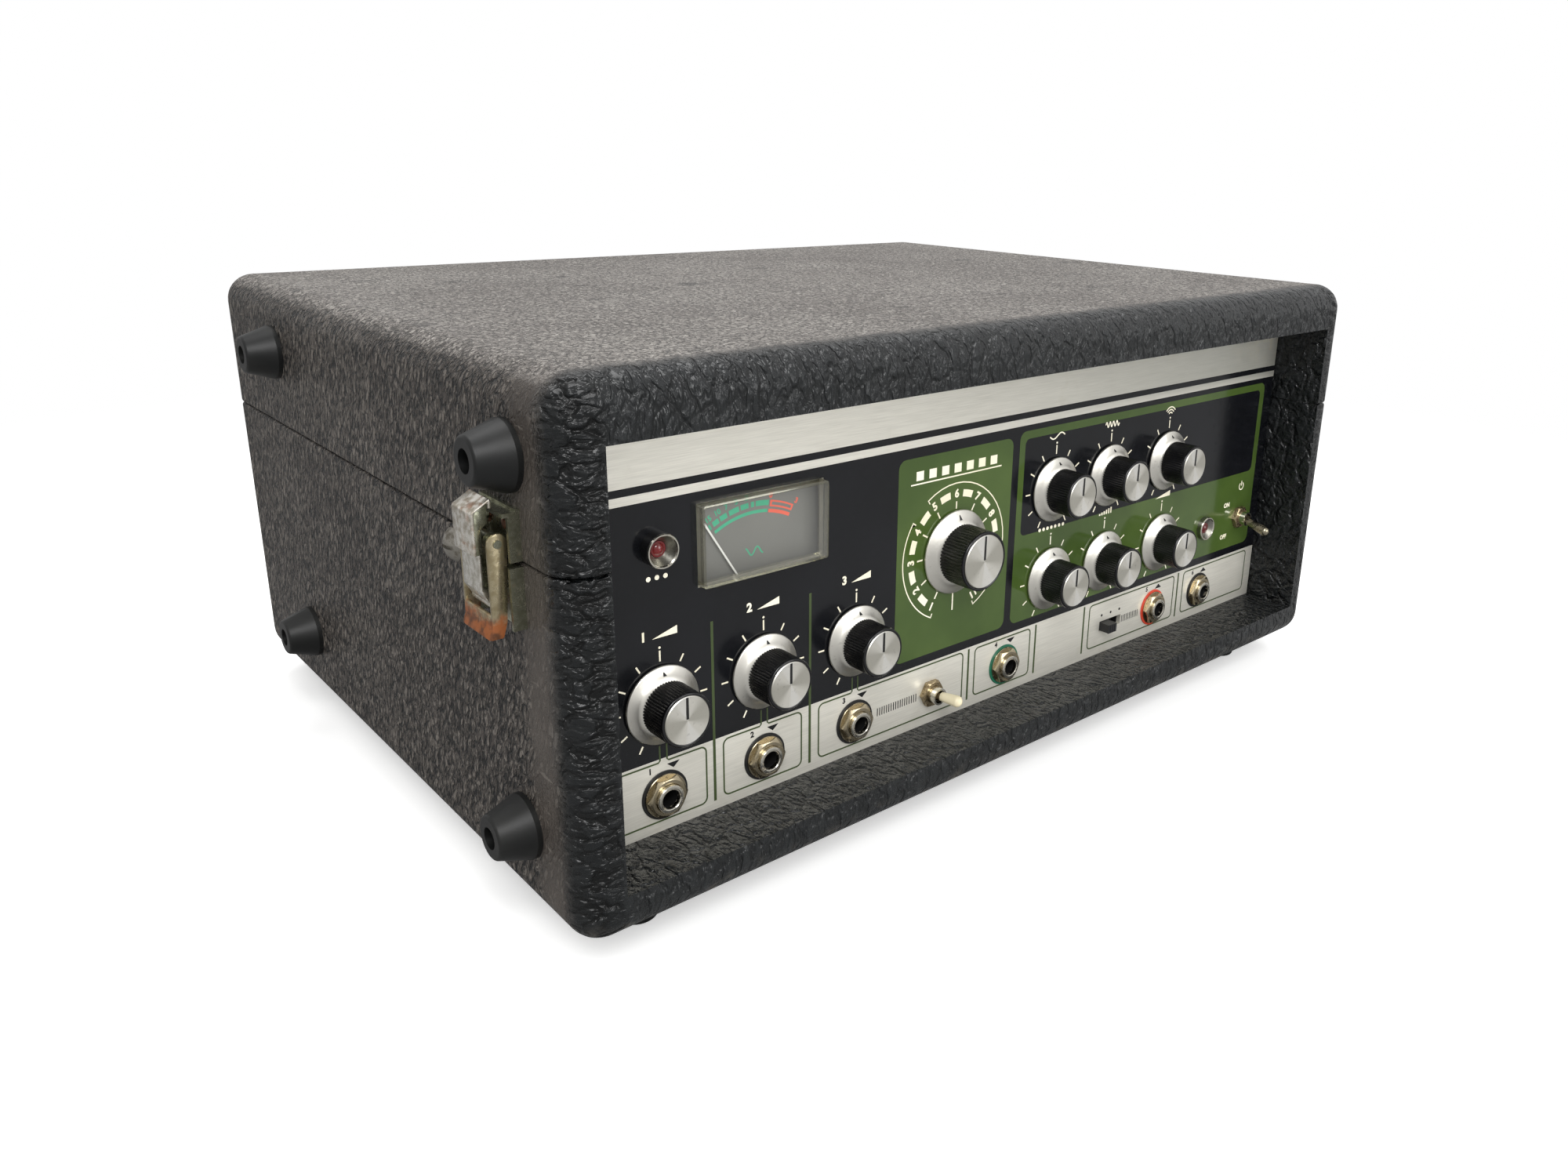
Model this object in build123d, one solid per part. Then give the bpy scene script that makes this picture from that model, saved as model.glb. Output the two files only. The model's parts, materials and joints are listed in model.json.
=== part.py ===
from build123d import *
from math import atan2, cos, pi, radians, sin
import os

# Tape echo unit: a leathercloth case with a lift-off lid, a control panel, and a tape deck inside.
#
# Frame: millimetres, origin on the floor under the middle of the case, +X to the player's right,
# -Y out of the front, +Z up. Heights named above_base are measured from the underside of the case.

os.makedirs("parts", exist_ok=True)

# ---- Case --------------------------------------------------------------------------------------
case_width = 400.0
case_depth = 300.0
case_height = 171.0
side_board = 14.5        # left, right and rear walls
flat_board = 12.0        # floor and top
edge_round = 11.0        # outer edges, under the leathercloth
seam_round = 1.2         # edges that meet where the lid closes
seam_tolerance = 0.01    # how near to the split a face counts as the seam
lid_height = 54.5        # from the split to the top
lower_lip = 16.0         # rail below the panel
upper_lip = 19.0         # rail above the panel
panel_recess = 24.0      # panel face behind the case's front
lid_gap = 0.3            # between the lid and all that it lifts away from
running_gap = 0.05       # radial, between a shaft and its bush
overcut = 1.0            # how far a cut runs past the face that it opens

# ---- Feet and screws ---------------------------------------------------------------------------
foot_height = 12.0
foot_base_radius = 10.4
foot_tip_radius = 6.9
foot_hole_radius = 3.5
foot_rim = 1.6           # straight edge next to the board
foot_tip_round = 1.2
foot_web = 3.5           # rubber left under the screw's head
foot_from_side = 32.0
foot_from_end = 26.5     # base feet, from the front and the rear
side_foot_low = 30.3     # above the underside of the case
side_foot_below_top = 24.6
low_foot_from_front = 33.0
low_foot_from_rear = 73.0
high_foot_from_front = 28.0
high_foot_from_rear = 68.0
screw_radius = 2.0
screw_head_radius = 3.2
screw_head_height = 2.2
screw_head_rim = 1.2
screw_bite = 9.0         # length in the board
bolt_radius = 2.5
bolt_head_radius = 5.4
bolt_head_height = 3.0
bolt_slot = 1.2
bolt_from_front = 70.0
bolt_below_split = 6.7

# ---- Latches, one on each side, near the front -------------------------------------------------
latch_from_front = 34.0
latch_half_width = 11.4
latch_sheet = 1.2
latch_plate_gap = 0.6    # between the base plate and the split
latch_base_height = 19.0
latch_rim_out = 4.0      # raised edges of the base plate
latch_pivot_out = 6.0    # lever pin, out from the board
latch_pivot_up = 6.5     # lever pin, above the split
latch_throw = 18.0       # from the lever's pin down to the claw's pin
latch_pin_radius = 1.2
latch_pin_head = 0.4
latch_knuckle_radius = 2.0
bracket_half_width = 4.4
bracket_foot = 7.0       # below the split
lever_end_radius = 3.0
lever_inner_half = 8.0
lever_length = 27.5      # from its pin to the lip's lower edge
lever_neck = 1.6         # how much slimmer the lever is at its lower end
lip_height = 7.0
lip_turn = 3.0           # height over which the lip turns outwards
lip_crease = 0.4         # the lip's inner corner sits this much lower
lip_kick = 1.2
claw_half_width = 6.25
claw_face_out = 11.6     # outer face of the claw, out from the board
claw_low_up = 3.0        # lower edge of the claw's hood, above the split
claw_top_up = 18.7
claw_gap = 0.3           # between the claw's nose and the keeper when the latch is undone
claw_bite_gap = 0.5      # between the claw's nose and the top of the keeper's flange
claw_slope = 3.2         # height of the sloping top of the hood
claw_cheek_gap = 2.6     # how far the cheeks stand out from the keeper's flange
claw_cheek_rise = 8.4    # above this the cheeks are deep, below it they are shallow
claw_cheek_lip = 0.6
tongue_overlap = 2.0     # tongue behind the hood
tongue_thickness = 1.0
keeper_flange_out = 5.1
keeper_flange_up = 15.3
keeper_top_up = 16.0
keeper_low_up = 1.0
keeper_rim_out = 3.6
base_rivet_spread = 7.6  # from the latch's middle to each rivet
base_rivet_down = 13.5
base_rivet_radius = 2.0
base_rivet_height = 0.7
keeper_rivet_spread = 6.4
keeper_rivet_up = 11.0
keeper_rivet_radius = 2.6
keeper_rivet_height = 1.6

# ---- Carrying handle on the right side ---------------------------------------------------------
handle_span = 190.0      # between the two fixing screws
handle_above_base = 62.0
handle_cap_length = 34.0
handle_cap_width = 27.0
handle_cap_height = 9.0
handle_cap_wall = 1.5
handle_cap_round = 3.0
strap_width = 22.0
strap_thickness = 4.5
strap_gap = 0.3          # between the strap and its caps
strap_straight = 2.0     # flat stretch between a cap and the bow

# ---- Front panel: rows are above the case's underside, and each gap is from the column on its left ---
panel_thickness = 2.0
panel_side_gap = 0.3
panel_tuck = 5.0         # panel hidden behind the upper rail
left_column_margin = 27.9    # from the panel's left edge to the first column
right_column_margin = 17.2
mic_2_gap = 39.6
instrument_gap = 40.4
echo_toggle_gap = 38.4
mode_gap = 10.0
return_gap = 31.4
first_column_gap = 24.4
second_column_gap = 35.1
range_gap = 10.0
third_column_gap = 30.9
foot_switch_gap = 36.1
power_gap = 29.0
jack_row = 28.8
input_row = 60.7
output_row = 60.4
tone_row = 98.3
mode_row = 83.8
lamp_row = 59.8
peak_lamp_row = 112.0
range_row = 29.0

# ---- Knobs, potentiometers and the rotary switch -----------------------------------------------
knob_height = 15.0       # from the panel to the top of the cap
knob_gap = 0.4           # between the skirt and the panel
knob_cap_radius = 7.94
knob_grip_radius = 9.0
knob_skirt_radius = 13.2
mode_cap_radius = 10.1
mode_grip_radius = 11.4
mode_skirt_radius = 16.3
mode_knob_height = 15.7
skirt_rim = 1.1
skirt_rise = 3.6
cap_inset = 1.0
cap_border = 0.5         # ring of grip around the metal cap
grip_wall = 1.5
grip_flutes = 30
flute_depth = 0.35
knob_recess_depth = 4.6
shaft_below_cap = 3.0
shaft_radius = 3.0
bush_radius = 4.5
bush_height = 3.6
pot_radius = 8.5
pot_depth = 10.0
switch_radius = 15.0
switch_depth = 16.0
control_back = 1.0       # end wall of a control behind its shaft
shaft_end_gap = 0.1
tag_pitch = 4.0
tag_width = 2.0
tag_length = 4.0
tag_thickness = 1.0
nut_height = 2.0
control_nut_flats = 11.0
toggle_nut_flats = 8.0

# ---- Jack sockets ------------------------------------------------------------------------------
plug_radius = 3.175      # quarter-inch plug
plug_clearance = 0.075
plug_reach = 31.0
jack_front = 4.0         # sleeve in front of the panel
jack_sleeve_radius = 4.75
jack_body_width = 15.0
jack_body_depth = 28.0
jack_ring_radius = 8.4
jack_ring_height = 1.0
jack_nut_flats = 12.7

# ---- Toggle and slide switches -----------------------------------------------------------------
toggle_bush_radius = 3.3
toggle_bore_radius = 2.6
toggle_front = 5.5
toggle_pivot_front = 2.0
toggle_ball_radius = 2.2
toggle_stem_radius = 1.3
toggle_tip_radius = 2.3
toggle_neck = 3.5        # straight part of the stem
toggle_tip_round = 1.0
toggle_reach = 17.6      # panel to the lever's tip
echo_toggle_reach = 14.5
toggle_lean = 16.0       # degrees each side of straight
echo_toggle_lean = 13.0
toggle_body_width = 13.0
toggle_body_height = 20.0
toggle_body_depth = 18.0
slider_width = 5.5
slider_height = 3.8
slider_travel = 8.8
slider_front = 5.0
slider_depth = 2.7       # behind the panel
slot_gap = 0.3
slide_body_margin = 4.0
slide_body_height = 9.0
slide_body_depth = 7.0

# ---- Level meter and lamps ---------------------------------------------------------------------
meter_width = 50.1
meter_height = 27.2
meter_above_base = 109.4
meter_front = 3.5        # cover in front of the panel
meter_cover_wall = 1.3
meter_case_margin = 3.2
meter_case_wall = 1.5
meter_depth = 24.0
meter_cavity = 7.0
meter_pivot_drop = 26.4  # needle's pivot below the window's middle
meter_below_pivot = 6.5
dial_thickness = 4.4
dial_gap = 0.3
dial_hole_radius = 1.6
needle_post_radius = 0.8
needle_post_end = 0.4
needle_hub_radius = 2.4
needle_gap = 0.8         # between the dial and the needle
needle_length = 37.5
needle_rest_lean = 32.0  # degrees to the left at rest
needle_width = 0.6
needle_thickness = 0.4
lamp_bezel_radius = 5.5
peak_lamp_front = 4.6
power_lamp_front = 2.4
lamp_lens_radius = 2.5
lamp_wall = 1.5
lamp_shank = 3.0         # collar behind the panel
lamp_body = 6.0          # lens body behind the panel
lamp_edge = 0.6
lamp_face = 0.6
lamp_seat = 0.35         # share of the collar's height at which the lens sits
lens_rise = 0.8

# ---- Chassis, deck and tape drive --------------------------------------------------------------
chassis_sheet = 1.5
chassis_side_gap = 2.5   # between the chassis and the case's sides
chassis_rear_gap = 2.5
deck_below_split = 1.5   # underside of the deck plate
deck_sheet = 2.0
deck_from_front = 66.0
deck_ledge = 10.0
deck_side_gap = 0.5
panel_tab = 7.0          # chassis tabs behind the front panel
tape_width = 6.35
tape_thickness = 0.3
tape_above_deck = 2.5
tape_gap = 0.3
tape_bend = 2.2
tape_folds = 11
tape_start = 14.0        # tape left of the first guide
fold_front_gap = 16.0
fold_rear_gap = 14.0
head_line_from_front = 104.0
head_base_from_deck_front = 8.0
head_base_behind_face = 5.0
head_base_overhang = 12.0
head_base_gap = 0.3      # below the tape
head_depth = 16.0
head_above_tape = 2.5
head_nose = 0.7          # nose radius as a share of a head's width
head_shoulder = 0.55     # where the square back of a head begins, as a share of its width
erase_head_width = 12.0
head_width = 14.0
erase_from_capstan = 172.0
record_from_capstan = 142.0
first_playback_from_capstan = 104.0
playback_pitch = 33.0
playback_heads = 3
guides_from_capstan = (198.0, 88.0, 18.0)
guide_radius = 2.5
guide_flange_radius = 3.6
guide_flange_height = 1.5
capstan_radius = 3.0
capstan_from_side = 103.0    # from the chassis's right side
capstan_above_tape = 4.0
boss_radius = 7.0
boss_below_deck = 3.0
boss_above_deck = 1.5
flywheel_radius = 28.0
flywheel_height = 11.0
flywheel_below_deck = 4.0
flywheel_rim = 3.0       # below the belt's groove
capstan_end = 3.7        # shaft below the flywheel
capstan_end_gap = 0.3
bracket_sheet = 2.0
bracket_leg = 3.0
bracket_half = 8.0
bracket_gap = 6.0        # between the flywheel and the bracket's leg
motor_pulley_radius = 7.0
pulley_flange = 1.5
pulley_flange_height = 2.0
motor_from_side = 43.0
motor_from_chassis_rear = 83.0
motor_radius = 23.0
motor_height = 46.0
motor_below_deck = 21.0
motor_shaft_radius = 1.5
motor_shaft_depth = 8.0
motor_shaft_end_gap = 0.5
motor_post_radius = 2.5
motor_post_circle = 17.0
belt_thickness = 1.0
belt_width = 5.0
belt_gap = 0.3
roller_radius = 9.0
roller_height = 8.4
roller_axle_radius = 2.0
roller_gap = 0.3         # above and below the roller
axle_head_radius = 3.4
axle_head_height = 0.6
arm_length = 32.0
arm_tail = 20.0
arm_half_width = 4.0
arm_end_radius = 5.0
arm_sheet = 2.0
arm_above_tape = 1.6
arm_hub_radius = 5.5
arm_throw = 7.0          # degrees from released to pressed
drive_pin_radius = 1.5
drive_pin_height = 4.0
drive_pin_inset = 2.5
pivot_post_radius = 3.0
pivot_post_above_tape = 5.0
plunger_radius = 4.0
plunger_above_arm = 5.5
plunger_length = 30.0
fork_half_width = 4.0
fork_thickness = 4.0
fork_lift = 0.5          # above the arm
fork_lap = 12.0          # fork beyond the solenoid's face
fork_slot_half_x = 2.4
fork_slot_half_y = 1.8
solenoid_from_arm = 22.0
solenoid_half = 11.0
solenoid_length = 34.0
solenoid_bore_depth = 23.0
bin_from_left = 13.0     # from the chassis's left side
bin_from_right = 77.0
bin_behind_tape = 26.0
bin_from_chassis_rear = 8.0
bin_wall = 2.0
bin_height = 10.0
bin_mouth_half = 6.0
bin_exit_inset = 22.0
bin_entry_inset = 9.0
cover_thickness = 2.5
cover_margin = 2.0

# ---- Under the deck ------------------------------------------------------------------------------
board_from_left = 18.0
board_from_right = 133.0
board_from_front = (78.0, 186.0)
board_thickness = 1.6
board_post_height = 14.0
board_post_radius = 3.0
board_post_inset = 8.0
component_row_pitch = 21.0
component_columns = 9
component_rows = 4
component_inset = 24.0
component_far_inset = 23.0
large_component_radius = 4.0
small_component_radius = 2.5
component_slenderness = 3.0
tank_from_left = 13.0
tank_from_right = 118.0
tank_from_chassis_rear = 12.0
tank_depth = 38.0
tank_height = 26.0
tank_wall = 2.0
tank_spring_radius = 2.6
tank_spring_offset = 9.0
tank_spring_up = 14.0
transformer_from_side = 65.0
transformer_from_chassis_rear = 37.0
core_half_width = 28.0
core_half_depth = 12.0
core_height = 46.0
winding_half_width = 18.0
winding_half_depth = 22.0
winding_inset = 8.0      # above the tray and below the core's top

# ---- Rear recess -------------------------------------------------------------------------------
rear_opening_width = 110.0
rear_opening_height = 50.0
rear_opening_from_side = 90.5    # its middle, from the left board
rear_opening_above_base = 55.0
rear_panel_margin = 8.0
rear_panel_sheet = 1.5
cord_radius = 3.5
cord_clearance = 0.25
gland_from_opening_middle = 36.0
gland_neck_radius = 5.5
gland_flange_radius = 8.0
gland_flange_height = 3.0
gland_tip_radius = 6.5
gland_front = 11.0
gland_back = 8.0
fuse_from_opening_middle = 10.0
fuse_radius = 6.0
fuse_depth = 22.0
fuse_cap_radius = 7.5
fuse_cap_height = 9.0
fuse_slot_half = 0.6

# ---- Places worked out from the sizes above ----------------------------------------------------
half_width = case_width / 2
front = -case_depth / 2
rear = case_depth / 2
base = foot_height
top = base + case_height
split = top - lid_height
inner_half = half_width - side_board
inner_rear = rear - side_board
floor_top = base + flat_board
panel_face = front + panel_recess
panel_back = panel_face + panel_thickness
panel_half = inner_half - panel_side_gap
panel_bottom = floor_top + chassis_sheet
panel_top = top - upper_lip + panel_tuck
latch_y = front + latch_from_front
deck_bottom = split - deck_below_split
deck_top = deck_bottom + deck_sheet
deck_front = front + deck_from_front
chassis_half = inner_half - chassis_side_gap
chassis_rear = inner_rear - chassis_rear_gap
tape_low = deck_top + tape_above_deck
tape_high = tape_low + tape_width
tape_line = front + head_line_from_front
plug_bore = plug_radius + plug_clearance
pot_floor = -panel_thickness - pot_depth + control_back
column_gaps = (mic_2_gap, instrument_gap, echo_toggle_gap, mode_gap, return_gap, first_column_gap,
               second_column_gap, range_gap, third_column_gap, foot_switch_gap, power_gap)
column_run = 2 * panel_half - left_column_margin - right_column_margin
column_places = [
    left_column_margin - panel_half + column_run * sum(column_gaps[:count]) / sum(column_gaps)
    for count in range(len(column_gaps) + 1)
]
(mic_1_x, mic_2_x, instrument_x, echo_toggle_x, mode_x, return_x, first_column_x, second_column_x,
 range_x, third_column_x, foot_switch_x, power_x) = column_places
capstan_x = chassis_half - capstan_from_side
motor_x = chassis_half - motor_from_side
transformer_x = chassis_half - transformer_from_side
rear_opening_x = -inner_half + rear_opening_from_side
bin_x = (-chassis_half + bin_from_left, chassis_half - bin_from_right)
board_x = (-chassis_half + board_from_left, chassis_half - board_from_right)
tank_x = (-chassis_half + tank_from_left, chassis_half - tank_from_right)


# ---- Building blocks ---------------------------------------------------------------------------
def block(x, y, z):
    """A box between three pairs of limits."""
    size = [high - low for low, high in (x, y, z)]
    middle = [(low + high) / 2 for low, high in (x, y, z)]
    return Pos(*middle) * Box(*size)


def disc(radius, low, high):
    """A cylinder along Z between two heights."""
    return Pos(0, 0, (low + high) / 2) * Cylinder(radius, high - low)


def turned(*profile):
    """A solid of revolution about Z from (radius, height) points."""
    return revolve(Plane.XZ * make_face(Polyline(*profile, close=True)), Axis.Z)


def across(profile, half):
    """A sheet profile of (x, z) points, carried to both sides along Y."""
    return extrude(Plane.XZ * make_face(Polyline(*profile, close=True)), amount=half, both=True)


def hex_nut(flats, bore, low, height):
    """A hexagon nut along Z."""
    blank = extrude(RegularPolygon(flats / 2, 6, major_radius=False), height)
    return Pos(0, 0, low) * blank - disc(bore, low, low + height)


def on_panel(x, above_base, shape):
    """Stand a piece on the panel: its X is right, its Y is up, and its Z comes out of the face."""
    return Pos(x, panel_face, base + above_base) * Rot(90, 0, 0) * shape


def on_right_side(y, z, shape):
    """Stand a piece on the right side of the case: its Z comes out of the board."""
    return Pos(half_width, y, z) * Rot(0, 90, 0) * shape


def on_left_side(y, z, shape):
    return Pos(-half_width, y, z) * Rot(0, -90, 0) * shape


def under_base(x, y, shape):
    return Pos(x, y, base) * Rot(180, 0, 0) * shape


def write(node, *shapes):
    """Write one node; its separate pieces stay separate solids."""
    solids = [solid for shape in shapes for solid in shape.solids()]
    node_shape = Compound(solids) if len(solids) > 1 else solids[0]
    node_shape.label = node
    export_step(node_shape, f"parts/{node}.step")


def mirrored(shape):
    return mirror(shape, about=Plane.YZ)


# ---- Where the feet, bolts and handle screws go --------------------------------------------------
base_foot_places = [
    (side * (half_width - foot_from_side), end * (case_depth / 2 - foot_from_end))
    for side in (-1, 1) for end in (-1, 1)
]
low_foot_ends = [front + low_foot_from_front, rear - low_foot_from_rear]
high_foot_ends = [front + high_foot_from_front, rear - high_foot_from_rear]
bolt_y = front + bolt_from_front
bolt_z = split - bolt_below_split
handle_z = base + handle_above_base
handle_screw_ends = [-handle_span / 2, handle_span / 2]


# ---- Case: one rounded box, cut at the split -----------------------------------------------------
def case_shell(low, high, floor, ceiling, lip_depth, opening):
    """Walls of the rounded box between two heights, hollow inside and open at the front."""
    outer = block((-half_width, half_width), (front, rear), (base, top))
    outer = fillet(outer.edges(), edge_round)
    outer = outer & block((-case_width, case_width), (-case_depth, case_depth), (low, high))
    hollow = block((-inner_half, inner_half), (front + lip_depth, inner_rear), (floor, ceiling))
    mouth = block((-inner_half, inner_half), (front - overcut, front + lip_depth), opening)
    return outer - hollow - mouth


def soften_seam(shell, height):
    """Round the outer edges that the leathercloth is wrapped over where the two halves meet."""
    level = shell.faces().filter_by(Axis.Z)
    flat = level.filter_by(lambda face: abs(face.center().Z - height) < seam_tolerance)
    seam = [
        edge for edge in flat.edges()
        if max(abs(edge.center().X) - half_width, abs(edge.center().Y) - rear) > -edge_round / 2
    ]
    return fillet(seam, seam_round)


screw_hole = disc(screw_radius, -screw_bite, overcut)
bolt_hole = disc(bolt_radius, -side_board - chassis_side_gap - chassis_sheet, overcut)
handle_screw_hole = disc(bolt_radius, -screw_bite, overcut)

lower_case = case_shell(base, split, floor_top, split + overcut, panel_recess,
                        (base + lower_lip, split + overcut))
lower_case = soften_seam(lower_case, split)
lower_case -= block(
    (rear_opening_x - rear_opening_width / 2, rear_opening_x + rear_opening_width / 2),
    (inner_rear - overcut, rear + overcut),
    (base + rear_opening_above_base - rear_opening_height / 2,
     base + rear_opening_above_base + rear_opening_height / 2),
)
for x, y in base_foot_places:
    lower_case -= under_base(x, y, screw_hole)
for y in low_foot_ends:
    lower_case -= on_left_side(y, base + side_foot_low, screw_hole)
for y in handle_screw_ends:
    lower_case -= on_right_side(y, handle_z, handle_screw_hole)
lower_case -= on_left_side(bolt_y, bolt_z, bolt_hole)
lower_case -= on_right_side(bolt_y, bolt_z, bolt_hole)
write("lower_case", lower_case)

lid = case_shell(split + lid_gap, top, split - overcut, top - flat_board, panel_recess - lid_gap,
                 (split - overcut, top - upper_lip))
lid = soften_seam(lid, split + lid_gap)
for y in high_foot_ends:
    lid -= on_left_side(y, top - side_foot_below_top, screw_hole)
write("lid", lid)


# ---- Feet, their screws, and the dome-headed bolts -----------------------------------------------
def rubber_foot():
    """A cone of rubber with a deep hole for its screw."""
    blank = turned((0, 0), (foot_base_radius, 0), (foot_base_radius, foot_rim),
                   (foot_tip_radius, foot_height), (0, foot_height))
    blank = fillet(blank.edges().group_by(Axis.Z)[-1], foot_tip_round)
    blank -= disc(foot_hole_radius, foot_web, foot_height + overcut)
    return blank - disc(screw_radius, -overcut, foot_web + overcut)


def foot_screw():
    rim = foot_web + screw_head_rim
    tip = foot_web + screw_head_height
    return turned((0, -screw_bite), (screw_radius, -screw_bite), (screw_radius, foot_web),
                  (screw_head_radius, foot_web), (screw_head_radius, rim),
                  (screw_head_radius - screw_head_rim, tip), (0, tip))


def dome_bolt(seat, depth):
    """A slotted dome head on a seat height, with its shank going down to a depth."""
    ball_radius = (bolt_head_radius ** 2 + bolt_head_height ** 2) / (2 * bolt_head_height)
    dome = Pos(0, 0, seat + bolt_head_height - ball_radius) * Sphere(ball_radius)
    dome = dome & disc(bolt_head_radius, seat, seat + bolt_head_height)
    slot = block((-bolt_slot / 2, bolt_slot / 2), (-bolt_head_radius, bolt_head_radius),
                 (seat + bolt_head_height - bolt_slot, seat + bolt_head_height + overcut))
    return dome - slot + disc(bolt_radius, -depth, seat)


foot = rubber_foot()
screw = foot_screw()
low_places = [under_base(x, y, Pos(0, 0, 0)) for x, y in base_foot_places]
low_places += [on_left_side(y, base + side_foot_low, Pos(0, 0, 0)) for y in low_foot_ends]
high_places = [on_left_side(y, top - side_foot_below_top, Pos(0, 0, 0)) for y in high_foot_ends]
write("case_feet", *[place * foot for place in low_places])
write("case_foot_screws", *[place * screw for place in low_places])
write("lid_feet", *[place * foot for place in high_places])
write("lid_foot_screws", *[place * screw for place in high_places])

chassis_bolt = dome_bolt(0, side_board + chassis_side_gap + chassis_sheet)
handle_bolt = dome_bolt(handle_cap_height, screw_bite)
write(
    "dome_screws",
    on_left_side(bolt_y, bolt_z, chassis_bolt),
    on_right_side(bolt_y, bolt_z, chassis_bolt),
    *[on_right_side(y, handle_z, handle_bolt) for y in handle_screw_ends],
)


# ---- Carrying handle: a strap under two metal caps -----------------------------------------------
cap_half = handle_cap_length / 2
strap_pocket = strap_thickness + strap_gap


def handle_cap():
    """A pressed cap over the strap's end; its open side faces the other cap."""
    shell = block((-handle_cap_width / 2, handle_cap_width / 2), (-cap_half, cap_half),
                  (0, handle_cap_height))
    shell = fillet(shell.edges().group_by(Axis.Z)[-1], handle_cap_round)
    pocket_half = strap_width / 2 + strap_gap
    pocket = block((-pocket_half, pocket_half), (-cap_half + handle_cap_wall, cap_half + overcut),
                   (-overcut, strap_pocket))
    return shell - pocket - disc(bolt_radius, -overcut, handle_cap_height + overcut)


def handle_strap():
    """A flat strap that bows out between the caps, no further than the feet stand out."""
    reach = handle_span / 2
    end = reach + cap_half - handle_cap_wall - strap_gap
    bow_end = reach - cap_half - strap_straight
    outline = Polyline((-bow_end, 0), (-end, 0), (-end, strap_thickness), (-bow_end, strap_thickness))
    outline += ThreePointArc((-bow_end, strap_thickness), (0, foot_height), (bow_end, strap_thickness))
    outline += Polyline((bow_end, strap_thickness), (end, strap_thickness), (end, 0), (bow_end, 0))
    outline += ThreePointArc((bow_end, 0), (0, foot_height - strap_thickness), (-bow_end, 0))
    strap = extrude(Plane.YZ * make_face(outline), amount=strap_width / 2, both=True)
    for place in (-reach, reach):
        strap -= Pos(0, place, 0) * disc(bolt_radius, -overcut, strap_thickness + overcut)
    return strap


cap = handle_cap()
write("handle_strap", on_right_side(0, handle_z, handle_strap()))
write(
    "handle_end_caps",
    on_right_side(handle_screw_ends[0], handle_z, cap),
    on_right_side(handle_screw_ends[1], handle_z, Rot(0, 0, 180) * cap),
)


# ---- Latches: x is out from the board, y along it, z above the split -----------------------------
def on_latch(shape):
    return Pos(half_width, latch_y, split) * shape


def latch_pair(shape):
    right = on_latch(shape)
    return right, mirrored(right)


def along_latch(radius, half, out, up):
    """A round bar along Y."""
    return Pos(out, 0, up) * Rot(90, 0, 0) * Cylinder(radius, 2 * half)


latch_link_up = latch_pivot_up - latch_throw
pin_bore = latch_pin_radius + running_gap
lever_outer_half = lever_inner_half + latch_sheet
latch_plate_low = -latch_base_height


def rivet(out, along, up, radius, height):
    return Pos(out, along, up) * Rot(0, 90, 0) * turned(
        (0, 0), (radius, 0), (radius * 0.8, height * 0.7), (0, height))


def latch_base():
    """Plate on the lower case with raised edges, and the bracket that carries the lever's pin."""
    heights = (latch_plate_low, -latch_plate_gap)
    plate = block((0, latch_sheet), (-latch_half_width, latch_half_width), heights)
    for side in (-1, 1):
        edge = sorted((side * latch_half_width, side * (latch_half_width - latch_sheet)))
        plate += block((0, latch_rim_out), edge, heights)
    knuckle = latch_knuckle_radius
    bracket = across([(0, -bracket_foot), (latch_sheet, -bracket_foot),
                      (latch_pivot_out + 0.96 * knuckle, latch_pivot_up - 0.3 * knuckle),
                      (latch_pivot_out - knuckle, latch_pivot_up - 0.6 * knuckle),
                      (latch_sheet, -2 * latch_plate_gap), (0, -2 * latch_plate_gap)], bracket_half_width)
    bracket += along_latch(knuckle, bracket_half_width, latch_pivot_out, latch_pivot_up)
    pin_hole = along_latch(latch_pin_radius, latch_half_width, latch_pivot_out, latch_pivot_up)
    return plate + bracket - pin_hole


def latch_keeper():
    """Plate on the lid with raised edges and the flange that the claw pulls on."""
    plate = block((0, latch_sheet), (-latch_half_width, latch_half_width), (keeper_low_up, keeper_top_up))
    for side in (-1, 1):
        edge = sorted((side * latch_half_width, side * (latch_half_width - latch_sheet)))
        plate += block((0, keeper_rim_out), edge, (keeper_low_up, keeper_flange_up))
    flange = block((0, keeper_flange_out), (-latch_half_width, latch_half_width),
                   (keeper_flange_up - latch_sheet, keeper_flange_up))
    return plate + flange


def latch_lever():
    """Two arms joined by a finger lip at the bottom, with the claw's pin between them."""
    low = latch_pivot_up - lever_length
    back = latch_pivot_out - lever_end_radius
    face = latch_pivot_out + lever_end_radius
    arm = across([(back, latch_pivot_up), (face, latch_pivot_up), (face, low + lip_turn),
                  (face + lip_kick, low), (latch_pivot_out, low),
                  (back + lever_neck, low + lip_turn + lever_neck)], latch_sheet / 2)
    arm += along_latch(lever_end_radius, latch_sheet / 2, latch_pivot_out, latch_pivot_up)
    arm_middle = lever_inner_half + latch_sheet / 2
    lever = Pos(0, arm_middle, 0) * arm + Pos(0, -arm_middle, 0) * arm
    lever += across([(face, low + lip_height), (face, low + lip_turn), (face + lip_kick, low), (face, low),
                     (face - latch_sheet, low + lip_turn - lip_crease),
                     (face - latch_sheet, low + lip_height)], lever_outer_half)
    lever -= along_latch(pin_bore, lever_outer_half + overcut, latch_pivot_out, latch_pivot_up)
    return lever + along_latch(latch_pin_radius, lever_outer_half, latch_pivot_out, latch_link_up)


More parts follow.
